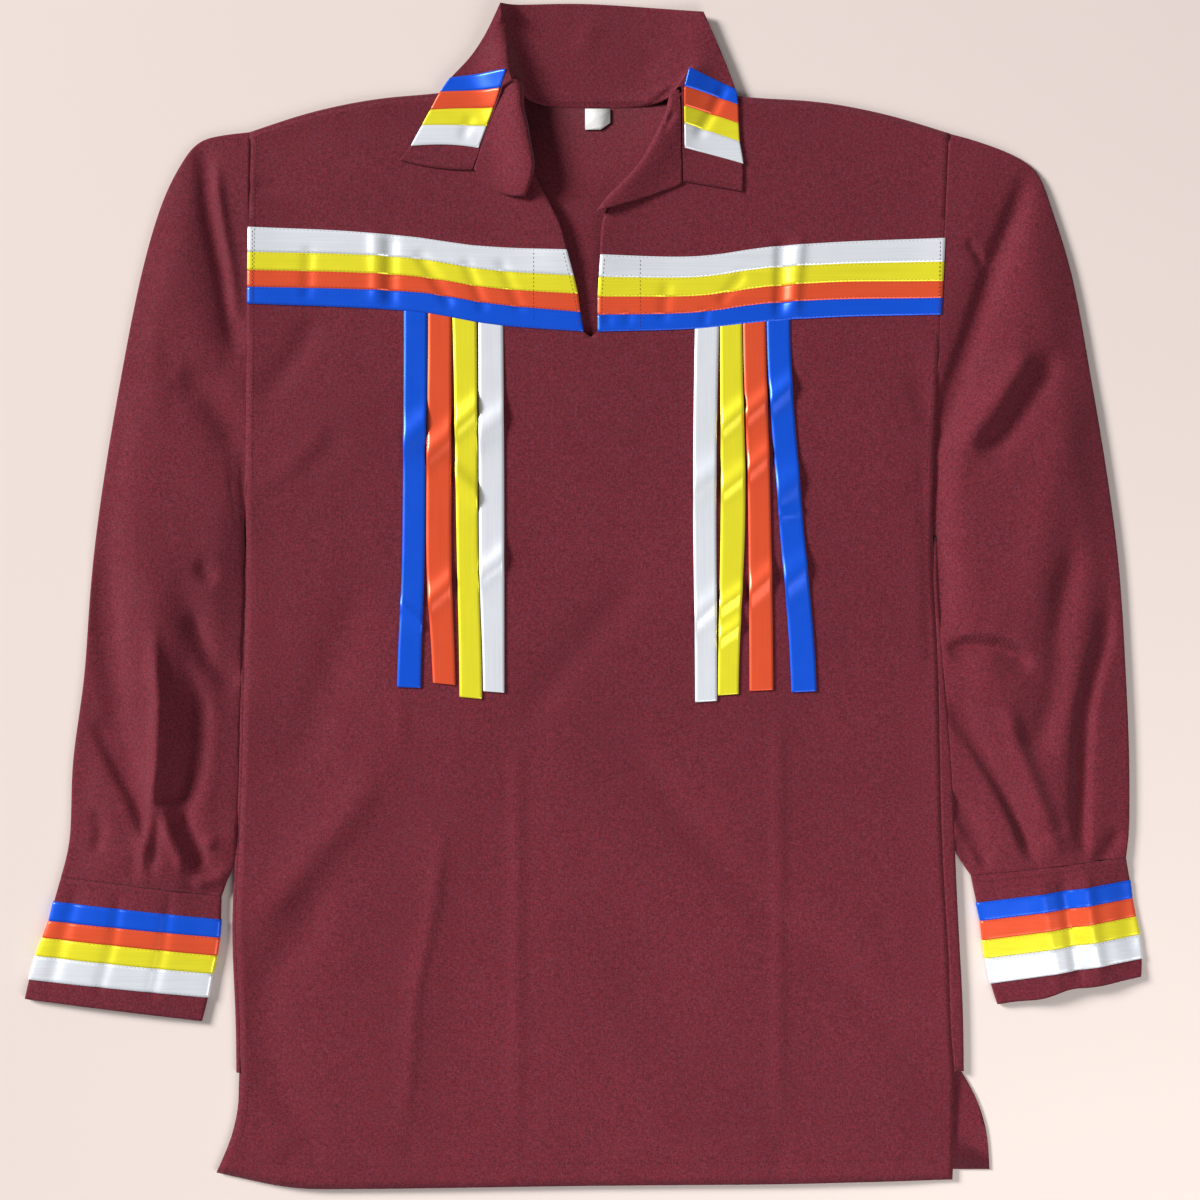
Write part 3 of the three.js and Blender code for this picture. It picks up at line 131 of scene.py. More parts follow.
# Creases of each group, in millimetres: the points that one runs through, the softness of its left
# and right flanks, and its height, which is below zero for a trough. A crease fades toward its ends
# over a share of its length, from a tip that has a little of its height
CREASE_FADE = 0.22
CREASE_TIP = 0.15
CREASES = {
    "sleeve_right": (
        (((-348, 25), (-343, 6), (-342, -24), (-338, -53), (-335, -89), (-325, -122),
          (-314, -133)), 9.2, 9.2, -5.52),
        (((-307, -24), (-302, -73), (-304, -122), (-306, -154), (-309, -164), (-311, -179),
          (-314, -207)), 4.6, 6.9, 6),
        (((-320, -183), (-322, -206)), 6, 6, -1.56),
        (((-352, -90), (-344, -103), (-335, -121), (-322, -145), (-315, -163),
          (-311, -180)), 11, 5, -7.92),
        (((-352, -154), (-346, -168), (-350, -187)), 5, 5, -2.88),
        (((-281, -66), (-280, -97), (-283, -122), (-288, -142), (-292, -156)), 9, 6.5, -9.12),
        (((-292, -152), (-283, -174), (-274, -196)), 6.5, 5, -6.24),
        (((-301, -145), (-300, -164), (-290, -184), (-284, -200)), 5.5, 5, 4.32),
        (((-278, 25), (-270, 15), (-262, 9)), 5.75, 5.75, -4.08),
        (((-283, -12), (-278, -24), (-273, -37), (-268, -48), (-258, -56),
          (-248, -65)), 5.75, 6.9, -5.04),
        (((-274, -182), (-262, -174)), 4, 4.5, 2.64),
        (((-282, -208), (-260, -202), (-252, -200)), 5.75, 5.75, 3.84),
        (((-276, 326), (-271, 302), (-270, 284), (-268, 271), (-261, 240), (-257, 220), (-252, 189),
          (-248, 168)), 5.75, 5.75, -4.56),
        (((-266, 312), (-260, 271), (-253, 230), (-250, 189)), 4.6, 4.6, 4.08),
        (((-291, 161), (-270, 145), (-253, 120), (-246, 102)), 11.5, 11.5, -5.04),
        (((-296, -120), (-304, -150), (-309, -180), (-312, -204)), 6, 4, -4.08),
    ),
    "sleeve_left": (
        (((319, 303), (309, 275), (296, 242), (287, 213), (276, 180), (265, 147), (256, 118),
          (252, 96)), 6.9, 5.75, -6.6),
        (((254, 105), (251, 87), (254, 63), (256, 30), (258, -7), (260, -32)), 5.75, 5.75, -5.04),
        (((275, 255), (282, 245), (287, 235)), 2.88, 2.88, -2.52),
        (((321, 176), (303, 151), (287, 125), (269, 107)), 9.2, 9.2, 5.04),
        (((340, 176), (323, 147), (303, 118), (283, 98)), 9.2, 9.2, -5.04),
        (((262, -40), (277, -35), (295, -36), (310, -41), (322, -53)), 4, 10, -9.6),
        (((355, 42), (345, 5), (340, -32), (340, -58), (335, -82), (328, -104), (310, -104),
          (295, -102)), 9.2, 9.2, -4.08),
        (((377, -7), (375, -32), (367, -58), (361, -82), (359, -107), (357, -157),
          (359, -192)), 4, 7.5, -8.88),
        (((265, -77), (277, -97), (290, -120), (303, -142), (313, -165), (323, -192)), 5, 5, -9.6),
        (((265, -142), (275, -160), (282, -177), (291, -197)), 4.6, 4.6, -7.44),
        (((270, -172), (278, -196)), 5, 5, -2.16),
        (((387, -168), (377, -180), (366, -194)), 5.5, 5.5, -2.64),
        (((323, -167), (334, -168), (347, -167)), 5.75, 5.75, -2.52),
        (((300, -76), (314, -119), (328, -155), (341, -191)), 6.9, 6.9, 4.56),
        (((254, 100), (256, 60), (259, 20), (261, -10)), 7, 7, -1.44),
        (((352, 150), (330, 60), (318, -20)), 16, 16, 1.92),
    ),
    "body": (
        (((243, 104), (246, 62), (249, 10), (250, -60)), 7, 5, -2.6),
        (((-243, 40), (-243, -20), (-243, -80)), 4, 5, -1.8),
        (((50, 350), (55, 342), (59, 335), (63, 342), (65, 348)), 2.6, 2.6, -1.5),
        (((12, 417), (3, 400), (0, 386)), 5, 7, 1.1),
        (((52, 388), (40, 378), (31, 366)), 6, 5, -1.2),
        (((2, 347), (-10, 338), (-22, 328)), 5, 5, -1),
        (((236, 158), (245, 135), (250, 118)), 5.75, 5.75, -2.5),
        (((228, 71), (243, 71)), 5.75, 5.75, -2),
        (((-132, -71), (-131, -109)), 3.45, 3.45, 1.4),
        (((-100, -167), (-107, -225), (-119, -282), (-124, -340), (-129, -390)), 3.45, 5.75, 1.7),
        (((-47, -86), (-47, -156), (-47, -277), (-48, -397)), 2.88, 4.6, 1.4),
        (((140, -71), (141, -184), (141, -292), (141, -390)), 2.88, 4.6, 1.5),
        (((12, -86), (50, -128), (77, -167), (107, -202), (138, -232), (165, -251), (196, -282),
          (242, -332)), 10.3, 10.3, -2.4),
        (((43, 14), (12, -21), (-15, -55), (-46, -90)), 10.3, 10.3, -1.9),
        (((-146, -128), (-181, -174), (-207, -205), (-238, -240)), 9.2, 11.5, 2.7),
        (((-219, -223), (-200, -230), (-181, -233)), 13.8, 13.8, -2),
        (((-181, -197), (-199, -243), (-227, -274), (-234, -312), (-219, -351), (-199, -382),
          (-184, -401)), 10.3, 10.3, -2.4),
        (((-158, 6), (-173, -32), (-199, -109), (-219, -128)), 12.6, 12.6, -2),
        (((-241, 75), (-222, 85), (-204, 97), (-183, 120)), 2.88, 4.6, 2),
        (((-239, 294), (-226, 293), (-214, 292)), 4.6, 4.6, -1.7),
        (((-233, 141), (-214, 161), (-202, 178), (-194, 199)), 6.9, 6.9, -2.5),
        (((-167, 116), (-186, 103), (-208, 89)), 9.2, 9.2, -1.7),
        (((-219, -409), (-204, -401), (-184, -405)), 5.75, 5.75, -1.7),
        (((-124, -390), (-124, -407)), 5.75, 5.75, -1.5),
        (((-61, -413), (-61, -400)), 6.9, 6.9, -1.5),
        (((14, -403), (14, -385)), 8.05, 8.05, -1.5),
        (((141, -393), (141, -413)), 5.75, 5.75, -1.7),
        (((208, -225), (224, -238)), 9.2, 9.2, -1.7),
        (((219, -294), (231, -302)), 8.05, 8.05, -1.5),
        (((-197, 252), (-199, 210)), 4, 4, -1.12),
        (((-150, 264), (-149, 206)), 6, 4, 1.54),
        (((-139, 262), (-139, 240), (-139, 205)), 5, 4, -1.96),
        (((-121, 248), (-108, 228), (-94, 205)), 5, 4, -1.68),
        (((-86, 243), (-70, 201)), 4, 4, -1.26),
        (((-61, 243), (-44, 201)), 4, 4, -1.12),
        (((17, 204), (18, 192)), 3, 3, -0.98),
        (((32, 206), (32, 192)), 3, 3, -0.98),
        (((60, 226), (57, 194)), 4, 4, -1.12),
        (((116, 232), (96, 208)), 4, 4, -1.26),
        (((88, 208), (86, 192)), 3, 3, -0.98),
        (((142, 258), (141, 225), (140, 197)), 5, 4, -2.24),
        (((156, 260), (153, 226), (151, 197)), 4, 6, 1.96),
        (((-80, 345), (-88, 325)), 4, 4, -0.9),
        (((103, 368), (92, 346), (80, 326)), 4, 4, -1.6),
    ),
    "cuff_right": (
        (((-362, -206), (-374, -246), (-384, -284)), 5, 5, -1.2),
        (((-332, -210), (-338, -250), (-350, -292)), 4, 4, -1.2),
        (((-296, -212), (-302, -255), (-312, -296)), 4, 4, -1.2),
    ),
    "cuff_left": (
        (((326, -199), (332, -240), (341, -286)), 5, 6, 1.3),
        (((342, -197), (349, -240), (357, -284)), 5, 6, -2.8),
        (((358, -195), (364, -240), (371, -280)), 6, 5, 2),
        (((388, -192), (394, -235), (400, -272)), 14, 10, -2.4),
    ),
}

# Hanging ribbons lie a little clear of the front below their sewn ends, in millimetres
HANGING_LOFT = {"height": 0.7, "fromY": 186, "over": 40}

# Waves of the hanging ribbons, each right across: the middle along Y, half length and height in
# millimetres, and the slant
HANGING_WAVES = {
    ("right", "blue"): ((116, 12, 2.5, 0.9), (-15, 3, 1.7, -0.9)),
    ("right", "red"): ((109.5, 10, 3.1, 0.9), (3, 9, 2.8, 0.9)),
    ("right", "yellow"): ((129, 9, 3.4, 0.9), (78, 8, 3.4, -0.9)),
    ("right", "white"): ((123, 11, 2.5, 0.8), (21.5, 9, 2.5, 0.8)),
    ("left", "white"): ((84.5, 12, 2.5, 0.8), (-9, 10, 2.5, 0.9)),
    ("left", "yellow"): ((127, 8, 3.1, 0.9), (81, 8, 2.8, 0.8), (-2.5, 6, 3.1, 0.7), (-25, 5, 2.8, 0.7)),
    ("left", "red"): ((137, 8, 3.1, 0.9), (96, 8, 2.8, 0.9), (7.5, 9, 3.1, 0.9)),
    ("left", "blue"): ((151.5, 9, 3.4, 0.9), (80, 13, 2.8, 0.8), (59, 2.5, 1.4, 0.3), (13, 12, 2.8, 0.8)),
}


def smooth(t):
    """A soft step from 0 to 1."""
    t = np.clip(t, 0, 1)
    return t * t * (3 - 2 * t)


def crease_height(group, x, y):
    """Height that the creases of one group add at points given in millimetres."""
    total = np.zeros_like(x)
    for path, left, right, height in CREASES[group]:
        path = np.array(path, float)
        steps = np.diff(path, axis=0)
        lengths = np.hypot(*steps.T)
        starts = np.concatenate(([0], np.cumsum(lengths)))
        nearest = np.full_like(x, np.inf)
        side = np.zeros_like(x)
        along = np.zeros_like(x)
        for k, (step, length) in enumerate(zip(steps, lengths)):
            dx, dy = x - path[k, 0], y - path[k, 1]
            t = np.clip((dx * step[0] + dy * step[1]) / length ** 2, 0, 1)
            ox, oy = dx - t * step[0], dy - t * step[1]
            distance = np.hypot(ox, oy)
            closer = distance < nearest
            nearest = np.where(closer, distance, nearest)
            side = np.where(closer, ox * step[1] - oy * step[0], side)
            along = np.where(closer, starts[k] + t * length, along)
        width = np.where(side > 0, right, left)
        ends = max(CREASE_FADE * starts[-1], left + right)
        taper = smooth(np.minimum(along, starts[-1] - along) / ends + CREASE_TIP)
        total += height * taper * np.exp(-((nearest / width) ** 2))
    return total


def points_of(mesh):
    """The places of a mesh's vertices in millimetres."""
    places = np.empty(len(mesh.vertices) * 3)
    mesh.vertices.foreach_get("co", places)
    return places.reshape(-1, 3) / MM


def put_points(mesh, places):
    mesh.vertices.foreach_set("co", (places * MM).ravel())
    mesh.update()


def refined(node, levels, name):
    """A finer copy of a solid's wall, rounded everywhere but at its rims and corners."""
    form = bmesh.new()
    form.from_mesh(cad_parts[node].data)
    bmesh.ops.remove_doubles(form, verts=form.verts, dist=MERGE)
    bmesh.ops.join_triangles(form, faces=form.faces, angle_face_threshold=JOIN_TURN,
                             angle_shape_threshold=JOIN_SHAPE)
    sharp = form.edges.layers.float.new("crease_edge")
    for edge in form.edges:
        turn = edge.calc_face_angle(0)
        if turn > SHARP_TURN or (turn > RIM_TURN and edge.calc_length() < RIM_LENGTH):
            edge[sharp] = 1
    mesh = bpy.data.meshes.new(name)
    form.to_mesh(mesh)
    form.free()
    obj = bpy.data.objects.new(name, mesh)
    bpy.context.scene.collection.objects.link(obj)
    obj.modifiers.new("finer", "SUBSURF").levels = levels
    evaluated = obj.evaluated_get(bpy.context.evaluated_depsgraph_get())
    obj.data = bpy.data.meshes.new_from_object(evaluated)
    obj.modifiers.clear()
    obj.data.shade_smooth()
    return obj


# Materials

def new_material(name):
    material = bpy.data.materials.new(name)
    material.use_nodes = True
    tree = material.node_tree
    shader = tree.nodes["Principled BSDF"]
    return material, tree, shader


def add_node(tree, kind, inputs=(), **settings):
    """A shader node with its settings, and its inputs set to values or linked to sockets."""
    node = tree.nodes.new(kind)
    for key, value in settings.items():
        setattr(node, key, value)
    for key, value in dict(inputs).items():
        if isinstance(value, bpy.types.NodeSocket):
            tree.links.new(value, node.inputs[key])
        else:
            node.inputs[key].default_value = value
    return node


def stretched(tree, scale):
    """The place on the object, in metres, times a scale along X, Y and Z."""
    place = add_node(tree, "ShaderNodeTexCoord").outputs["Object"]
    return add_node(tree, "ShaderNodeMapping", {"Vector": place, "Scale": scale}).outputs["Vector"]


def noise(tree, scale, detail=2.0, roughness=0.5):
    """Noise from 0 to 1, with a scale in cycles a metre along X, Y and Z."""
    return add_node(tree, "ShaderNodeTexNoise", {
        "Vector": stretched(tree, scale), "Scale": 1.0, "Detail": detail, "Roughness": roughness,
    }).outputs["Fac"]


def curve(tree, value, low, high, out_low=0.0, out_high=1.0):
    """A value's range from low to high, spread over another range and cut off outside it."""
    return add_node(tree, "ShaderNodeMapRange", {
        "Value": value, "From Min": low, "From Max": high, "To Min": out_low, "To Max": out_high,
    }).outputs["Result"]


def maths(tree, operation, a, b):
    return add_node(tree, "ShaderNodeMath", {0: a, 1: b}, operation=operation).outputs["Value"]


def mixed(tree, share, a, b):
    """A colour between two others, nearer to the second as the share grows."""
    node = add_node(tree, "ShaderNodeMix", data_type="RGBA")
    for name, kind, value in (("Factor", "VALUE", share), ("A", "RGBA", a), ("B", "RGBA", b)):
        socket = next(s for s in node.inputs if s.name == name and s.type == kind)
        if isinstance(value, bpy.types.NodeSocket):
            tree.links.new(value, socket)
        else:
            socket.default_value = value if kind == "VALUE" else (*value, 1)
    return next(s for s in node.outputs if s.type == "RGBA")


def threads(tree, direction, pitch):
    """Bands a pitch apart: a wave node's own bands repeat every pi / 10."""
    wave = add_node(tree, "ShaderNodeTexWave", {
        "Vector": stretched(tree, (1, 1, 1)), "Scale": math.pi / (10 * pitch),
        "Distortion": 0.6, "Detail": 1.0, "Detail Scale": 900.0,
    }, wave_type="BANDS", bands_direction=direction)
    return wave.outputs["Fac"]


def bump(tree, shader, height, strength, distance):
    node = add_node(tree, "ShaderNodeBump", {
        "Height": height, "Strength": strength, "Distance": distance,
    })
    tree.links.new(node.outputs["Normal"], shader.inputs["Normal"])


def cloth_material():
    """Plain woven cloth of dark, plum and light maroon threads, with wide faint patches."""
    material, tree, shader = new_material("maroon_cloth")
    warp = noise(tree, WARP_SCALE, 3, 0.65)
    weft = noise(tree, WEFT_SCALE, 3, 0.65)
    fleck = curve(tree, maths(tree, "ADD", warp, weft), *FLECK_RANGE)
    hue = curve(tree, noise(tree, HUE_SCALE, 2, 0.7), *HUE_RANGE)
    light = mixed(tree, hue, MAROON["plum"], MAROON["light"])
    light_fleck = mixed(tree, fleck, MAROON["dark"], light)
    body = mixed(tree, CLOTH_LOOK["fleck"], MAROON["mid"], light_fleck)
    patch = curve(tree, noise(tree, PATCH_SCALE, 3), *MIDDLE_RANGE, 0.0, CLOTH_LOOK["patch"])
    tree.links.new(mixed(tree, patch, body, MAROON["dark"]), shader.inputs["Base Color"])
    weave = maths(tree, "MULTIPLY", threads(tree, "X", WEAVE_PITCH), threads(tree, "Y", WEAVE_PITCH))
    relief = maths(tree, "ADD", weave, maths(tree, "MULTIPLY", fleck, CLOTH_LOOK["fleckRelief"]))
    bump(tree, shader, relief, CLOTH_LOOK["strength"], CLOTH_LOOK["depth"])
    rough = curve(tree, noise(tree, CLOTH_GLOSS_SCALE), *WIDE_RANGE, *CLOTH_LOOK["rough"])
    tree.links.new(rough, shader.inputs["Roughness"])
    shader.inputs["Specular IOR Level"].default_value = CLOTH_LOOK["specular"]
    shader.inputs["Sheen Weight"].default_value = CLOTH_LOOK["sheen"]
    shader.inputs["Sheen Roughness"].default_value = CLOTH_LOOK["sheenRough"]
    return material


def satin_material(colour, direction):
    """Satin with streaks along the ribbon, which runs along X or Y."""
    material, tree, shader = new_material(f"satin_{colour}_{direction.lower()}")
    streak = curve(tree, noise(tree, STREAK_SCALE[direction], 2), *MIDDLE_RANGE)
    base = SATIN[colour]
    dim = tuple(c * SATIN_LOOK["dim"] for c in base)
    tree.links.new(mixed(tree, streak, dim, base), shader.inputs["Base Color"])
    ribs = threads(tree, direction, SATIN_PITCH)
    bump(tree, shader, ribs, SATIN_LOOK["strength"], SATIN_LOOK["depth"])
    rough = curve(tree, noise(tree, SATIN_GLOSS_SCALE), *WIDE_RANGE, *SATIN_LOOK["rough"])
    tree.links.new(rough, shader.inputs["Roughness"])
    shader.inputs["Metallic"].default_value = SATIN_LOOK["metallic"]
    shader.inputs["Specular IOR Level"].default_value = SATIN_LOOK["specular"]
    return material


def thread_material(name, colour):
    material, tree, shader = new_material(name)
    twist = curve(tree, noise(tree, TWIST_SCALE, 1), *MIDDLE_RANGE)
    dim = tuple(c * THREAD_LOOK["dim"] for c in colour)
    tree.links.new(mixed(tree, twist, dim, colour), shader.inputs["Base Color"])
    shader.inputs["Roughness"].default_value = THREAD_LOOK["rough"]
    return material


def label_material():
    material, tree, shader = new_material("label_tape")
    weave = maths(tree, "MULTIPLY", threads(tree, "X", TAPE_PITCH), threads(tree, "Y", TAPE_PITCH))
    tree.links.new(mixed(tree, weave, *TAPE_COLOURS), shader.inputs["Base Color"])
    bump(tree, shader, weave, TAPE_LOOK["strength"], TAPE_LOOK["depth"])
    shader.inputs["Roughness"].default_value = TAPE_LOOK["rough"]
    return material


MAROON_CLOTH = cloth_material()

# Panels, with all their sizes in millimetres

SIDE_SIGNS = {"right": -1, "left": 1}

# Creases of a piece with an underside fade out downward, to nothing at EDGE_UP, so the underside
# stays flat. No trough goes down past DEEPEST, and cloth that lies lower keeps the least room
EDGE_UP = 1.6
EDGE_SOFT = 2
DEEPEST = 1.3
LEAST_ROOM = 0.1

# The stretch of the front along Y that the chest ribbons pucker
BAND = (186, 270)

# The collar is pressed down below the seam at the back of the neck, which rises at its two ends
NECK_SEAM = {"y": 355, "edge": 4, "fromX": -47, "toX": 70, "soft": 8, "drop": 2.1, "endRise": 11,
             "fromRise": 15, "fromOver": 14, "toRise": 26, "toOver": 20}

# Rims that are sewn together and lie no further apart than the reach are brought together
SEAM_REACH = 1.5

# The gap between sleeve and body is read at each step along Y, and closed with a lap by moving the
# sleeve over some width. A gap wider than the most is closed less, and one twice as wide not at all
SIDE_SEAM = {"step": 5, "over": 14, "lap": 0.9, "most": 2.5}
GAP_WEIGHTS = (0.25, 0.5, 0.25)

# Strips of the back beside the front: the top end on each side, and how it sinks there
STRIP_TOPS = {-1: 50, 1: 42.75}
STRIP = {"fromX": 238, "soft": 4, "over": 34, "low": 1.9}

# The top end of each facing is moved up and inward, more and more above a place along Y
FACING_TOP = {"from": 346, "over": 14, "up": 6, "inward": 1.2}

# Waves of the left cuff's free edge: their middle along X, half width and rise
CUFF_WAVES = ((328, 13, -1.8), (350, 10, 2.0), (376, 12, -1))
CUFF_WAVE_DEPTH = 30


def finish_piece(obj, node, material):
    obj.data.materials.clear()
    obj.data.materials.append(material)
    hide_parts(node)
    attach(obj, "root")


def lifted(places, group, only_top):
    """Creases of a group at each place, with no trough deeper than the cloth under it allows."""
    rise = crease_height(group, places[:, 0], places[:, 1])
    if only_top:
        rise = rise * smooth((places[:, 2] - EDGE_UP) / EDGE_SOFT)
    room = np.maximum(places[:, 2] - DEEPEST, LEAST_ROOM)
    return np.where(rise < 0, -room * np.tanh(-rise / room), rise)


def divide_band(obj):
    """Cut the top of the front once more where the chest ribbons pucker it."""
    form = bmesh.new()
    form.from_mesh(obj.data)
    inside = [edge for edge in form.edges
              if all(BAND[0] < v.co.y / MM < BAND[1] and v.normal.z > 0 for v in edge.verts)]
    bmesh.ops.subdivide_edges(form, edges=inside, cuts=1, use_grid_fill=True)
    form.to_mesh(obj.data)
    form.free()
    obj.data.shade_smooth()


def neck_seam_depth(x, y):
    """How far the collar is pressed down along the seam at the back of the neck."""
    ends = (smooth((x - NECK_SEAM["toX"] + NECK_SEAM["toRise"]) / NECK_SEAM["toOver"])
            + smooth((NECK_SEAM["fromX"] + NECK_SEAM["fromRise"] - x) / NECK_SEAM["fromOver"]))
    seam = (smooth((NECK_SEAM["y"] + NECK_SEAM["endRise"] * ends - y) / NECK_SEAM["edge"])
            * smooth((x - NECK_SEAM["fromX"]) / NECK_SEAM["soft"])
            * smooth((NECK_SEAM["toX"] - x) / NECK_SEAM["soft"]))
    return NECK_SEAM["drop"] * seam


def make_panel(node, group, levels, only_top=False):
    """The cloth of one panel, with the creases of a group on the form of its solid."""
    obj = refined(node, levels, node + "_cloth")
    if node == "front":
        divide_band(obj)
    places = points_of(obj.data)
    places[:, 2] += lifted(places, group, only_top)
    if node == "collar":
        places[:, 2] -= neck_seam_depth(places[:, 0], places[:, 1])
    put_points(obj.data, places)
    finish_piece(obj, node, MAROON_CLOTH)
    return obj


def surface_of(*objects):
    """The faces of some pieces, for laying things on them."""
    vertices, faces = [], []
    for obj in objects:
        first = len(vertices)
        vertices += [v.co.copy() for v in obj.data.vertices]
        faces += [[first + k for k in f.vertices] for f in obj.data.polygons]
    return BVHTree.FromPolygons(vertices, faces)


def close_seam(obj, neighbour):
    """Bring the rim of a piece sideways to the rim of the piece that it is sewn to."""
    surface = surface_of(neighbour)
    for vertex in obj.data.vertices:
        place = surface.find_nearest(vertex.co, SEAM_REACH * MM)[0]
        if place is None:
            continue
        step = place - vertex.co
        if math.hypot(step.x, step.y) > abs(step.z):
            near = 1 - (step.length / (SEAM_REACH * MM)) ** 2
            vertex.co += Vector((step.x, step.y, 0)) * near
    obj.data.update()


def edge_along(places, outer):
    """The outermost or innermost place of a side at each step along Y."""
    rows = np.round(places[:, 1] / SIDE_SEAM["step"])
    reach = np.abs(places[:, 0])
    ends = []
    for row in np.unique(rows):
        inside = np.flatnonzero(rows == row)
        best = inside[np.argmax(reach[inside] if outer else -reach[inside])]
        ends.append((places[best, 1], reach[best]))
    return np.array(sorted(ends)).T


def join_side(sleeve, sign, *body):
    """Bring the sleeve's inner edge to the body's edge, so that no table shows between them."""
    places = points_of(sleeve.data)
    rims = np.concatenate([points_of(panel.data) for panel in body])
    body_y, body_x = edge_along(rims[rims[:, 0] * sign > 0], outer=True)
    inner_y, inner_x = edge_along(places, outer=False)
    gap = inner_x - np.interp(inner_y, body_y, body_x) + SIDE_SEAM["lap"]
    gap = np.maximum(gap, 0) * (1 - smooth((gap - SIDE_SEAM["most"]) / SIDE_SEAM["most"]))
    gap = np.convolve(np.pad(gap, 1, mode="edge"), GAP_WEIGHTS, mode="valid")
    from_edge = np.abs(places[:, 0]) - np.interp(places[:, 1], inner_y, inner_x)
    share = 1 - smooth(from_edge / SIDE_SEAM["over"])
    places[:, 0] -= sign * np.interp(places[:, 1], inner_y, gap) * share
    put_points(sleeve.data, places)


def sink_strip(back):
    """Let the rolled strips of the back come up softly below the underarms."""
    places = points_of(back.data)
    x, y = places[:, 0], places[:, 1]
    for sign, top in STRIP_TOPS.items():
        beside = smooth((x * sign - STRIP["fromX"]) / STRIP["soft"])
        near = smooth((y - top + STRIP["over"]) / STRIP["over"]) * (y < top + STRIP["soft"])
        places[:, 2] -= np.maximum(places[:, 2] - STRIP["low"], 0) * beside * near
    put_points(back.data, places)


def stretch_up(facing, sign):
    """Run the top end of a facing on under the collar."""
    places = points_of(facing.data)
    share = smooth((places[:, 1] - FACING_TOP["from"]) / FACING_TOP["over"])
    places[:, 1] += FACING_TOP["up"] * share
    places[:, 0] -= sign * FACING_TOP["inward"] * share
    put_points(facing.data, places)


def wave_edge(obj, waves, depth):
    """Move the free edge of a cuff up and down in soft waves."""
    places = points_of(obj.data)
    for x, width, height in waves:
        near_edge = 1 - smooth((places[:, 1] - places[:, 1].min()) / depth)
        places[:, 1] += height * np.exp(-((places[:, 0] - x) / width) ** 2) * near_edge
    put_points(obj.data, places)


panels = {"back": make_panel("back", "body", LEVELS["back"], only_top=True)}
sink_strip(panels["back"])
panels["front"] = make_panel("front", "body", LEVELS["front"])
panels["collar"] = make_panel("collar", "body", LEVELS["collar"])
for side in SIDES:
    for part in ("sleeve", "cuff"):
        node = f"{part}_{side}"
        panels[node] = make_panel(node, node, LEVELS[part], only_top=True)
    panels["facing_" + side] = make_panel("facing_" + side, "body", LEVELS["facing"])
close_seam(panels["front"], panels["back"])
for side, sign in SIDE_SIGNS.items():
    join_side(panels["sleeve_" + side], sign, panels["front"], panels["back"])
    close_seam(panels["cuff_" + side], panels["sleeve_" + side])
    stretch_up(panels["facing_" + side], sign)
wave_edge(panels["cuff_left"], CUFF_WAVES, CUFF_WAVE_DEPTH)

# Ribbons: the panel that each kind lies on and the way that it runs, and how far in millimetres a
# ribbon is widened and brought down

RIBBON_KINDS = {"chest": ("front", "X"), "hanging": ("front", "Y"), "cuff": ("cuff", "X"),
                "collar": ("collar", "X")}
RIBBON_SPREAD = 0.24
RIBBON_SINK = 0.85
LEAST_DISTANCE = 1e-6


def lay_on(obj, panel):
    """Widen a ribbon to meet its neighbours and bring it down onto its panel."""
    surface = surface_of(panel)
    moves = []
    for vertex in obj.data.vertices:
        place, _, _, distance = surface.find_nearest(vertex.co)
        away = (vertex.co - place) / max(distance, LEAST_DISTANCE)
        moves.append(vertex.normal * RIBBON_SPREAD * MM - away * RIBBON_SINK * MM)
    for vertex, move in zip(obj.data.vertices, moves):
        vertex.co += move
    obj.data.update()


def wave_hanging(obj, waves):
    """Lift the loose length of a hanging ribbon, in waves right across it."""
    places = points_of(obj.data)
    across = places[:, 0] - places[:, 0].mean()
    rise = np.full(len(places), HANGING_LOFT["height"])
    for middle, half, height, slant in waves:
        rise += height * np.exp(-((places[:, 1] - middle - slant * across) / half) ** 2)
    loose = smooth((HANGING_LOFT["fromY"] - places[:, 1]) / HANGING_LOFT["over"])
    places[:, 2] += rise * loose
    put_points(obj.data, places)


def make_ribbon(kind, side, colour):
    """A satin ribbon on its panel, with the creases of the cloth under it."""
    panel, direction = RIBBON_KINDS[kind]
    on_cuff = kind == "cuff"
    if on_cuff:
        panel += "_" + side
    node = f"{kind}_ribbon_{side}_{colour}"
    obj = refined(node, RIBBON_LEVELS, node + "_satin")
    places = points_of(obj.data)
    places[:, 2] += lifted(places, panel if on_cuff else "body", only_top=on_cuff)
    put_points(obj.data, places)
    lay_on(obj, panels[panel])
    if kind == "hanging":
        wave_hanging(obj, HANGING_WAVES[side, colour])
    finish_piece(obj, node, ribbon_materials[colour, direction])
    return obj


ribbon_materials = {(c, d): satin_material(c, d) for c in COLOURS for d in "XY"}
ribbons = {(kind, side, colour): make_ribbon(kind, side, colour)
           for kind in RIBBON_KINDS for side in SIDES for colour in COLOURS}

label = refined("label", LABEL_LEVELS, "label_tape_blank")
finish_piece(label, "label", label_material())

# Stitches

# A stitch's sizes in millimetres, its three-cornered sections, each with its share of the length
# and of the full width and height, and how far in degrees it leans from the seam
STITCH = {"length": 2.0, "pitch": 2.9, "width": 0.45, "height": 0.3, "sink": 0.12}
STITCH_SECTIONS = ((0.22, 0.8), (0.78, 1.0))
STITCH_TILT = 1.2
SECTION_CORNERS = 3

# The height in millimetres from which a stitch's ends are looked for straight below
ABOVE = 100

# Ribbons are sewn down along both long edges, this far in, through points this far apart. What lies
# more than a depth below a ribbon's middle height is on the underside of the cuff
RIBBON_EDGE_IN = 1.1
RIBBON_EDGE_STEP = 8
UNDERSIDE_DEPTH = 2

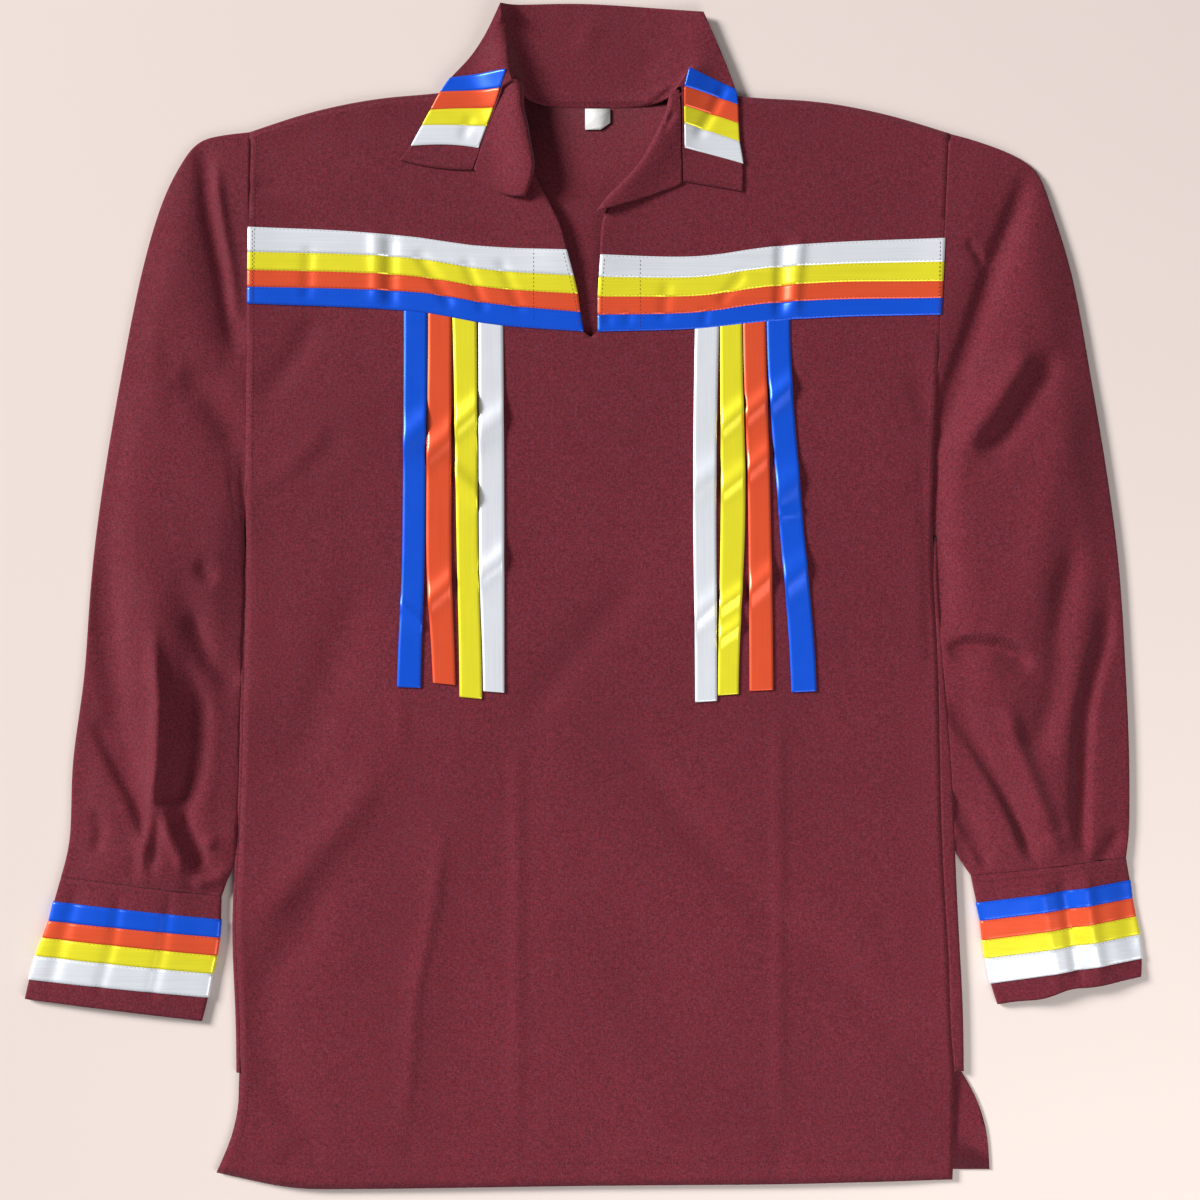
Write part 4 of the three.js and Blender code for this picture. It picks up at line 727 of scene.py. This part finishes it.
# Seams sewn through each panel, from above, through points in millimetres
SEAMS = {
    "front": (
        ((-250, -403), (-235, -407), (-190, -410), (-130, -410), (-60, -409), (5, -408), (130, -407),
         (200, -406), (256, -404)),
        ((-249, -400), (-243, -378), (-240.5, -349)),
        ((257, -402), (257, -345)),
        ((-3, 192), (-7, 216), (-15, 247), (-19, 266)),
        ((13, 192), (13, 215), (15, 244)),
        ((-36, 252), (-36, 196)),
        ((40.5, 244), (40.5, 190)),
        ((-237.5, 262), (-237.5, 208)),
        ((255.5, 254), (255.5, 202)),
        ((-235, 330), (-237, 200), (-238, 80)),
        ((258, 329), (254, 200), (246, 86)),
    ),
    "back": (
        ((268, -399), (291, -399)),
        ((-33, 351), (5, 350.5), (46, 351)),
    ),
    "collar": (
        ((-30, 354.5), (5, 354), (44, 354.4)),
        ((-127, 315), (-106, 309.8), (-83, 308.3)),
        ((76, 301), (111, 293.5)),
    ),
    "cuff_right": (
        ((-369, -207.5), (-310, -214), (-262, -219)),
        ((-393, -286), (-330, -291), (-276, -298)),
    ),
    "cuff_left": (
        ((287, -206), (330, -200), (388, -192)),
        ((300, -292), (345, -288), (397, -277)),
    ),
}


def seam_points(path, pitch):
    """Places a pitch apart along a path, with the way that it runs there."""
    steps = list(zip(path, path[1:]))
    lengths = [math.dist(a, b) for a, b in steps]
    for k in range(int(sum(lengths) / pitch)):
        left = (k + 0.5) * pitch
        for (a, b), length in zip(steps, lengths):
            if left <= length:
                way = ((b[0] - a[0]) / length, (b[1] - a[1]) / length)
                yield (a[0] + way[0] * left, a[1] + way[1] * left), way
                break
            left -= length


def sew(name, surface, paths, thread):
    """One mesh of short tapered stitches that lie on a surface, seen from above."""
    def on_top(x, y):
        return surface.ray_cast(Vector((x, y, ABOVE)) * MM, Vector((0, 0, -1)))[0]

    vertices, faces = [], []
    half = STITCH["length"] / 2
    for path in paths:
        for count, ((x, y), (wx, wy)) in enumerate(seam_points(path, STITCH["pitch"])):
            lean = math.radians(STITCH_TILT * (count % 3 - 1))
            cos, sin = math.cos(lean), math.sin(lean)
            wx, wy = wx * cos - wy * sin, wx * sin + wy * cos
            start = on_top(x - wx * half, y - wy * half)
            end = on_top(x + wx * half, y + wy * half)
            if start is None or end is None or abs(start.z - end.z) > half * MM:
                continue
            along = end - start
            across = along.cross(Vector((0, 0, 1))).normalized()
            up = across.cross(along).normalized()
            base = -up * STITCH["sink"] * MM
            first = len(vertices)
            vertices.append(start + base)
            for share, full in STITCH_SECTIONS:
                middle = start + along * share
                reach = across * STITCH["width"] / 2 * full * MM
                crown = middle + up * STITCH["height"] * full * MM
                vertices.extend((middle - reach + base, crown, middle + reach + base))
            tip = len(vertices)
            vertices.append(end + base)
            for k in range(SECTION_CORNERS):
                a = first + 1 + k
                b = first + 1 + (k + 1) % SECTION_CORNERS
                faces.append((first, a, b))
                faces.append((a, a + SECTION_CORNERS, b + SECTION_CORNERS, b))
                faces.append((a + SECTION_CORNERS, tip, b + SECTION_CORNERS))
    mesh = bpy.data.meshes.new(name)
    mesh.from_pydata(vertices, [], faces)
    mesh.shade_smooth()
    mesh.materials.append(thread)
    obj = bpy.data.objects.new(name, mesh)
    bpy.context.scene.collection.objects.link(obj)
    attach(obj, "root")


def ribbons_on(panel):
    """The ribbons that a seam of a panel may run over."""
    return [ribbon for (kind, side, _), ribbon in ribbons.items()
            if (panel == "front" and kind in ("chest", "hanging"))
            or (panel == "cuff_" + side and kind == "cuff")]


def long_edges(obj):
    """The lower and upper edge of a ribbon, moved in, through points along X."""
    places = points_of(obj.data)
    places = places[places[:, 2] > np.median(places[:, 2]) - UNDERSIDE_DEPTH]
    low_x = places[:, 0].min() + RIBBON_EDGE_IN
    high_x = places[:, 0].max() - RIBBON_EDGE_IN
    count = max(int((high_x - low_x) / RIBBON_EDGE_STEP), 2)
    lower, upper = [], []
    for x in np.linspace(low_x, high_x, count + 1):
        near = places[np.abs(places[:, 0] - x) < RIBBON_EDGE_STEP / 2]
        if len(near):
            lower.append((x, near[:, 1].min() + RIBBON_EDGE_IN))
            upper.append((x, near[:, 1].max() - RIBBON_EDGE_IN))
    return [lower, upper]


threads_of = {name: thread_material("thread_" + name, colour) for name, colour in THREAD.items()}
for panel, paths in SEAMS.items():
    surface = surface_of(panels[panel], *ribbons_on(panel))
    sew(panel + "_stitches", surface, paths, threads_of["maroon"])
for (kind, side, colour), ribbon in ribbons.items():
    if kind in ("chest", "cuff"):
        sew(f"{kind}_stitches_{side}_{colour}", surface_of(ribbon), long_edges(ribbon),
            threads_of[colour])

# Table, light and camera

floor_mesh = bpy.data.meshes.new("floor")
floor_corners = [(x * FLOOR_HALF, y * FLOOR_HALF, -FLOOR_DROP) for x, y in FLOOR_CORNERS]
floor_mesh.from_pydata(floor_corners, [], [(0, 1, 2, 3)])
floor = bpy.data.objects.new("floor", floor_mesh)
bpy.context.scene.collection.objects.link(floor)
floor_material, floor_tree, floor_shader = new_material("floor")
floor_shader.inputs["Base Color"].default_value = (*FLOOR_COLOUR, 1)
floor_shader.inputs["Roughness"].default_value = 0.8
floor_mesh.materials.append(floor_material)


def area_light(name, spec):
    data = bpy.data.lights.new(name, "AREA")
    data.energy = spec["power"]
    data.size = spec["size"] * MM
    light = bpy.data.objects.new(name, data)
    light.location = Vector(spec["at"]) * MM
    light.rotation_euler = (-light.location).to_track_quat("-Z", "Y").to_euler()
    bpy.context.scene.collection.objects.link(light)


area_light("key", KEY)
area_light("fill", FILL)
world = bpy.data.worlds.new("studio")
world.use_nodes = True
background = world.node_tree.nodes["Background"]
background.inputs["Color"].default_value = (*AMBIENT["colour"], 1)
background.inputs["Strength"].default_value = AMBIENT["strength"]
bpy.context.scene.world = world
bpy.context.scene.view_settings.view_transform = "Standard"

camera_data = bpy.data.cameras.new("camera")
camera_data.sensor_width = SENSOR
camera_data.lens = SENSOR * CAMERA_HEIGHT / VIEW_WIDTH
camera = bpy.data.objects.new("camera", camera_data)
camera.location = (*VIEW_CENTRE, CAMERA_HEIGHT)
bpy.context.scene.collection.objects.link(camera)
bpy.context.scene.camera = camera

# What was cut: width and length of each flat piece, in metres

SHEETS = {
    "back": ((0.56, 0.80), ("floor",)),
    "front": ((0.54, 0.80), ("back",)),
    "collar": ((0.33, 0.072), ("front_cloth",)),
    "sleeve_right": ((0.27, 0.54), ("floor",)),
    "sleeve_left": ((0.29, 0.54), ("floor",)),
    "cuff_right": ((0.26, 0.092), ("floor",)),
    "cuff_left": ((0.23, 0.092), ("floor",)),
    "facing_right": ((0.032, 0.08), ("front_cloth",)),
    "facing_left": ((0.028, 0.085), ("front_cloth",)),
}
for name, (flat, below) in SHEETS.items():
    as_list(below)
